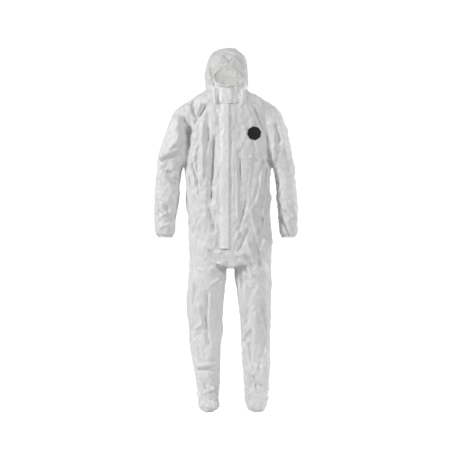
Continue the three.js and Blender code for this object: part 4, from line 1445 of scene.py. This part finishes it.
def make_face():
    def near_rim(c):
        r = np.sqrt(in_face(c))
        return (r > 0.75) & (r < 1.3)

    chain = cloth.rim(near_rim)[0]
    points = ring_points(chain)
    centre = np.array([FACE_X, points[:, 1].mean(), FACE_Z])
    order = np.argsort(np.arctan2(points[:, 2] - FACE_Z, points[:, 0] - FACE_X))
    points = points[order]
    around = np.linspace(-math.pi, math.pi, 260, endpoint=False)
    angle = np.arctan2(points[:, 2] - FACE_Z, points[:, 0] - FACE_X)
    rim = np.stack([np.interp(around, angle, points[:, i], period=2 * math.pi) for i in range(3)], 1)
    rim = smooth_ring(rim, 4)
    outward = unit((rim - centre) * np.array([1, 0, 1]))
    forward = forwards(rim)
    top = 0.5 + 0.5 * np.sin(around)
    wave = np.sin(34 * around + 2 * np.sin(5 * around))[:, None]
    line = rim - outward * (0.0028 - 0.0010 * wave) + forward * (0.0012 + 0.0016 * wave * top[:, None])
    roll = strip_mesh(line, unit(forward + 0.3 * outward), 0.0105, 0.0026, 0.42, 0.013, True, 10)
    hem = trim("face_hem_cloth", [roll], HEM, HOOD_ZONE, replaces=["face_hem"])
    inside = rim - outward * 0.0050 - forward * 0.0050
    knit = strip_mesh(inside, outward, 0.005, 0.0007, 0.5, 0.011, True, 6)
    band = trim("face_elastic_band", [knit], ELASTIC, HOOD_ZONE, ["face_elastic"])
    edge = rim + outward * 0.0035 + forward * 0.0022
    trim("face_hem_stitching", stitches(edge, unit(forward + 0.5 * outward)), THREAD, HOOD_ZONE)
    return hem, band


def make_cuff(side):
    foot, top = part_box(f"{side}_cuff")
    centre = Vector(((foot.x + top.x) / 2, (foot.y + top.y) / 2, 0))
    angles = np.linspace(0, 2 * math.pi, 120, endpoint=False)

    def ring(z, inset):
        out = []
        for a in angles:
            way = Vector((math.cos(a), math.sin(a), 0))
            hit = cloth.tree.ray_cast(Vector((centre.x, centre.y, z)), way)
            far = hit[3] if hit[0] and hit[3] < 0.09 else 0.04
            out.append((centre.x + way.x * (far - inset), centre.y + way.y * (far - inset), z))
        return smooth_ring(np.array(out), 2)

    outward = np.stack([np.cos(angles), np.sin(angles), np.zeros(len(angles))], 1)
    lip = ring(foot.z + 0.004, 0.0004)
    lip[:, 2] -= 0.0036
    roll = strip_mesh(lip, outward, 0.007, 0.0021, 0.3, 0.012, True, 8)
    hem = trim(f"{side}_cuff_hem", [roll], FILM_SEAM, f"{side}_forearm")
    knit = strip_mesh(ring(foot.z + 0.010, 0.0028), outward, 0.009, 0.0008, 0.4, 0.01, True, 6)
    replaced = [f"{side}_cuff_elastic"]
    return hem, trim(f"{side}_cuff_elastic_band", [knit], ELASTIC, f"{side}_forearm", replaced)


def back_inside(x, z, inset):
    """Points just inside the back of the trunk."""
    hit = cloth.tree.ray_cast(Vector((x, 0.03, z)), Vector((0, 1, 0)))
    return (x, (hit[0].y if hit[0] and hit[0].y < 0.2 else 0.11) - inset, z)


def make_waist():
    z = (low("waist_elastic").z + high("waist_elastic").z) / 2
    reach = np.linspace(-0.165, 0.178, 90)
    line = smooth_chain(np.array([back_inside(x, z, 0.004) for x in reach]), 4)
    normal = np.tile([0.0, 1.0, 0.0], (len(line), 1))
    knit = strip_mesh(line, normal, 0.020, 0.0009, 0.4, 0.016, False, 8)
    trim("waist_elastic_band", [knit], ELASTIC, "trunk", ["waist_elastic"])
    for k, rise in enumerate((-0.007, 0.007)):
        out = smooth_chain(np.array([back_inside(x, z + rise, -0.0009) for x in reach]), 3)
        trim(f"waist_stitching_{k + 1}", stitches(out, normal), THREAD, "trunk")


def make_label():
    foot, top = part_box("neck_label")
    x = np.linspace(foot.x, top.x, 20)
    z = np.linspace(top.z, foot.z, 16)
    grid = np.array([[back_inside(a, b, 0.0035) for a in x] for b in z])
    for _ in range(6):
        y = grid[..., 1]
        y[1:-1, 1:-1] = (y[:-2, 1:-1] + y[2:, 1:-1] + y[1:-1, :-2] + y[1:-1, 2:]) / 4
    grid[..., 1] = grid[..., 1].min(axis=0, keepdims=True) * 0.5 + grid[..., 1] * 0.5
    grid[..., 1] -= 0.001 * np.linspace(0, 1, 16)[:, None] ** 2
    return trim("neck_label_patch", [panel_mesh(grid, 0.0004)], LABEL, "trunk", ["neck_label"])


FACE_HEM, FACE_BAND = make_face()
CUFFS = {side: make_cuff(side) for side in SIDES}
make_waist()
LABEL_PATCH = make_label()


# ---- Zip, flaps and badge ------------------------------------------------------------------------
LINE_TOP, LINE_FOOT = (-0.100, 0.020), (-0.130, -0.780)     # (y, z) where the zip's line starts and ends
TAPE_HALF = 0.013
COIL_PITCH = 0.0021
FLAP_THICK = 0.0009                         # two layers of film
LINER_THICK = 0.0003
ON_TOP = np.array([0, -0.0002, 0])          # thread lies this far in front of the film
UNDERNEATH = np.array([0, 0.00095, 0])      # adhesive lies this far behind a flap's face


def line_y(z):
    """The straight line that the zip runs down: its depth at each height."""
    return LINE_TOP[0] + (LINE_FOOT[0] - LINE_TOP[0]) * (LINE_TOP[1] - z) / (LINE_TOP[1] - LINE_FOOT[1])


def make_zip():
    top, foot = high("zip_tape_left").z, low("zip_tape_left").z
    for side, s in SIDES.items():
        x = np.linspace(0.0002, TAPE_HALF, 7) * s
        z = np.linspace(top, foot, 240)
        ripple = 0.00025 * np.sin(z * 2 * math.pi / 0.021)
        y = (line_y(z) + 0.0009)[:, None] + ripple[:, None] * np.abs(x) / TAPE_HALF
        grid = np.stack([np.tile(x, (len(z), 1)), y, np.tile(z[:, None], (1, len(x)))], 2)
        replaced = [f"zip_tape_{side}"]
        trim(f"zip_tape_{side}_weave", [panel_mesh(grid, 0.0005)], TAPE, "trunk", replaced)
        z0, z1 = high(f"zip_coil_{side}").z, low(f"zip_coil_{side}").z
        turns = (z0 - z1) / COIL_PITCH
        t = np.arange(0, turns, 1 / 9) * 2 * math.pi
        z = z0 - t / (2 * math.pi) * COIL_PITCH - (COIL_PITCH / 2 if s > 0 else 0)
        x, y = s * (0.00115 - 0.0013 * np.cos(t)), line_y(z) - 0.0004 - 0.00062 * np.sin(t)
        line = np.stack([x, y, z], 1)
        tangent = unit(np.gradient(line, axis=0))
        normal = unit(np.cross(tangent, np.tile([0.0, 0.0, 1.0], (len(t), 1))))
        coil = strip_mesh(line, normal, 0.0008, 0.0004, sides=5)
        trim(f"zip_coil_{side}_teeth", [coil], COIL, "trunk", [f"zip_coil_{side}"])
    for name in ("zip_slider", "zip_pull", "zip_top_stop_left", "zip_top_stop_right", "zip_bottom_stop"):
        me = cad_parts[name].data
        me.materials.clear()
        me.materials.append(MOULDED)


def plateau(x, left, right, ease_left, ease_right):
    """1 between left and right, easing down to 0 over the given distances outside them."""
    up = np.clip((x - (left - ease_left)) / ease_left, 0, 1)
    down = np.clip(((right + ease_right) - x) / ease_right, 0, 1)
    return (up * up * (3 - 2 * up)) * (down * down * (3 - 2 * down))


def soften(grid, passes):
    """The grid of depths, smoothed by its neighbours inside its border."""
    inside = grid[1:-1, 1:-1]
    for _ in range(passes):
        inside[:] = (inside * 4 + grid[:-2, 1:-1] + grid[2:, 1:-1] + grid[1:-1, :-2] + grid[1:-1, 2:]) / 8
    return grid


def make_storm_flap():
    foot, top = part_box("storm_flap")
    x = np.linspace(foot.x, top.x, 44)
    z = np.linspace(top.z, foot.z, 330)
    under = facing_front(x, z)
    base = soften(np.minimum(under, line_y(z)[:, None] + 0.001), 10)
    over_zip = plateau(x, -0.012, 0.009, 0.026, 0.009)[None, :]
    lift = 0.0018 + 0.0068 * over_zip
    share = ((x - foot.x) / (top.x - foot.x))[None, :]
    z2 = z[:, None]
    waves = 0.0011 * np.sin(z2 * 21 + 2.2 * np.sin(z2 * 7)) * np.sin(math.pi * share * 1.4 + z2 * 9)
    waves *= 1 - share
    waves += 0.0016 * np.sin(z2 * 34 + 1.4) * (1 - share) ** 3
    for level, deep in ((-0.130, 0.0016), (-0.251, 0.0014), (-0.383, 0.0018), (-0.56, 0.0012)):
        waves += deep * np.clip(1 - np.abs(z2 - level - 0.01 * share) / 0.007, 0, 1)
    waves *= 1 - 0.85 * over_zip
    welt = 0.0007 * (np.abs((x - foot.x) - 0.006) < 0.0011)[None, :]
    welt = welt + 0.0007 * (np.abs((top.x - x) - 0.005) < 0.0011)[None, :]
    y = np.minimum(base, under - 0.0003) - lift - waves + welt
    wander = 0.0012 * np.sin(z * 17 + 1) + 0.0008 * np.sin(z * 53)
    grid = np.stack([x[None, :] + wander[:, None] * (1 - share), y, np.tile(z2, (1, len(x)))], 2)
    slab = panel_mesh(grid, FLAP_THICK)
    flap = trim("storm_flap_cloth", [slab], FILM_FLAP, "storm_flap", replaces=["storm_flap"])
    rows = []
    for col in (np.abs(x - foot.x - 0.006).argmin(), np.abs(top.x - 0.005 - x).argmin()):
        rows += stitches(grid[:, col] + ON_TOP, forwards(z))
    trim("storm_flap_stitching", rows, THREAD, "storm_flap")
    edge = smooth_chain(grid[:, 0] + np.array([0.0006, 0.0004, 0]), 2)
    roll = strip_mesh(edge, forwards(z), 0.0028, 0.0011, 0.25, 0.013)
    hem = trim("storm_flap_edge", [roll], FILM_SEAM, "storm_flap")
    sewn = smooth_chain(grid[:, -1] + np.array([-0.0004, -0.0002, 0]), 2)
    trim("storm_flap_seam", [strip_mesh(sewn, forwards(z), 0.0052, 0.0019, 0.3, 0.012)], FILM_SEAM, "trunk")
    cols = (x > low("storm_flap_adhesive").x) & (x < high("storm_flap_adhesive").x)
    liner = panel_mesh(grid[4:-4][:, cols] + UNDERNEATH, LINER_THICK)
    tape = trim("storm_flap_tape", [liner], LINER, "storm_flap", ["storm_flap_adhesive"])
    return flap, hem, tape


def make_chin_flap():
    foot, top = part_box("chin_flap")
    x = np.linspace(foot.x, top.x, 48)
    z = np.linspace(top.z, foot.z, 44)
    under = facing_front(x, np.minimum(z, NECK_Z[0] - 0.012))
    base = soften(under, 12)
    share = ((x - foot.x) / (top.x - foot.x))[None, :]
    z2 = z[:, None]
    lift = 0.0030 + 0.0080 * plateau(x, -0.022, 0.016, 0.018, 0.026)[None, :]
    lift = lift * (1 - 0.30 * np.clip((foot.z + 0.022 - z2) / 0.022, 0, 1))
    waves = 0.0016 * np.sin(z2 * 60 + share * 5) * np.sin(share * 6 + 1)
    waves += 0.0022 * np.clip(1 - np.abs(z2 + 0.02 + 0.03 * share) / 0.008, 0, 1)
    welt = 0.0007 * (np.abs((x - foot.x) - 0.005) < 0.0013)[None, :]
    welt = welt + 0.0007 * (np.abs((z2 - foot.z) - 0.005) < 0.0010)
    y = np.minimum(base, under - 0.0002) - lift - waves + welt
    droop = 0.004 * np.sin(share * math.pi) * np.clip(z2 / 0.02, 0, 1)
    grid = np.stack([np.tile(x, (len(z), 1)), y, z2 - droop], 2)
    slab = panel_mesh(grid, FLAP_THICK)
    flap = trim("chin_flap_cloth", [slab], FILM_FLAP, "chin_flap", replaces=["chin_flap"])
    edge = smooth_chain(np.concatenate([grid[:, 0], grid[-1, 1:]]), 1)
    roll = strip_mesh(edge, forwards(edge), 0.0028, 0.0012, 0.25, 0.013)
    hem = trim("chin_flap_edge", [roll], FILM_SEAM, "chin_flap")
    thread = stitches(grid[:, 3] + ON_TOP, forwards(z)) + stitches(grid[-6] + ON_TOP, forwards(x))
    trim("chin_flap_stitching", thread, THREAD, "chin_flap")
    sewn = smooth_chain(grid[:, -1] + np.array([0.0, 0.0014, 0]), 2)
    trim("chin_flap_seam", [strip_mesh(sewn, forwards(z), 0.005, 0.0018, 0.3, 0.012)], FILM_SEAM, "trunk")
    cols = (x > low("chin_flap_adhesive").x) & (x < high("chin_flap_adhesive").x)
    rows = (z > low("chin_flap_adhesive").z) & (z < high("chin_flap_adhesive").z)
    liner = panel_mesh(grid[rows][:, cols] + UNDERNEATH, LINER_THICK)
    tape = trim("chin_flap_tape", [liner], LINER, "chin_flap", ["chin_flap_adhesive"])
    return flap, hem, tape


def make_badge():
    """An eight-sided black patch with a raised border and nothing printed on it."""
    foot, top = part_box("chest_badge")
    centre = ((foot.x + top.x) / 2, (foot.z + top.z) / 2)
    radius, turn, rings, around = 0.036, 0.22, 16, 96
    angle = np.arange(around) * 2 * math.pi / around
    within = (angle - turn * math.pi / 4) % (math.pi / 4) - math.pi / 8
    edge = radius * math.cos(math.pi / 8) / np.cos(within)
    share = np.concatenate([np.linspace(0.02, 0.86, rings - 5), [0.89, 0.92, 0.955, 0.985, 1.0]])
    x = centre[0] + share[:, None] * edge * np.cos(angle)
    z = centre[1] + share[:, None] * edge * np.sin(angle)
    y = np.array([[cloth.front(a, b) for a, b in zip(u, v)] for u, v in zip(x, z)], float)
    terms = np.stack([x.ravel(), z.ravel(), x.ravel() ** 2, np.ones(x.size)], 1)
    flat = np.linalg.lstsq(terms, y.ravel(), rcond=None)[0]
    fitted = flat[0] * x + flat[1] * z + flat[2] * x ** 2 + flat[3]
    lift = min(0.0, float((y - fitted).min())) * 0.55
    surface = np.minimum(fitted + lift, y) - 0.0009
    surface -= 0.0006 * np.exp(-((share[:, None] - 0.92) / 0.03) ** 2)
    front = np.stack([x, surface, z], 2)
    back = front[-1] + np.array([0, 0.0016, 0])
    verts = np.concatenate([front.reshape(-1, 3), back])
    faces = [tuple(range(around))]
    for r in range(rings):
        for i in range(around):
            j = (i + 1) % around
            faces.append((r * around + i, (r + 1) * around + i, (r + 1) * around + j, r * around + j))
    faces.append(tuple(rings * around + i for i in range(around))[::-1])
    return finished(new_object("chest_badge_patch", verts, faces), BADGE, "trunk", ["chest_badge"])


make_zip()
STORM, STORM_EDGE, STORM_TAPE = make_storm_flap()
CHIN, CHIN_EDGE, CHIN_TAPE = make_chin_flap()
make_badge()


# ---- Each sheet handed to cloth_sheet, which leaves it unchanged ---------------------------------
def declare_sheets():
    for name, o in PANELS.items():
        if "sole" in name or "sock" in name:
            cloth_sheet(o)
        elif "cuff" in name:
            cloth_sheet(o)
        elif "hood_crown" in name:
            cloth_sheet(o)
        elif "hood" in name or "collar" in name:
            cloth_sheet(o)
        else:
            cloth_sheet(o)
    cloth_sheet(STORM)
    cloth_sheet(CHIN)
    cloth_sheet(LABEL_PATCH)


declare_sheets()
studio()
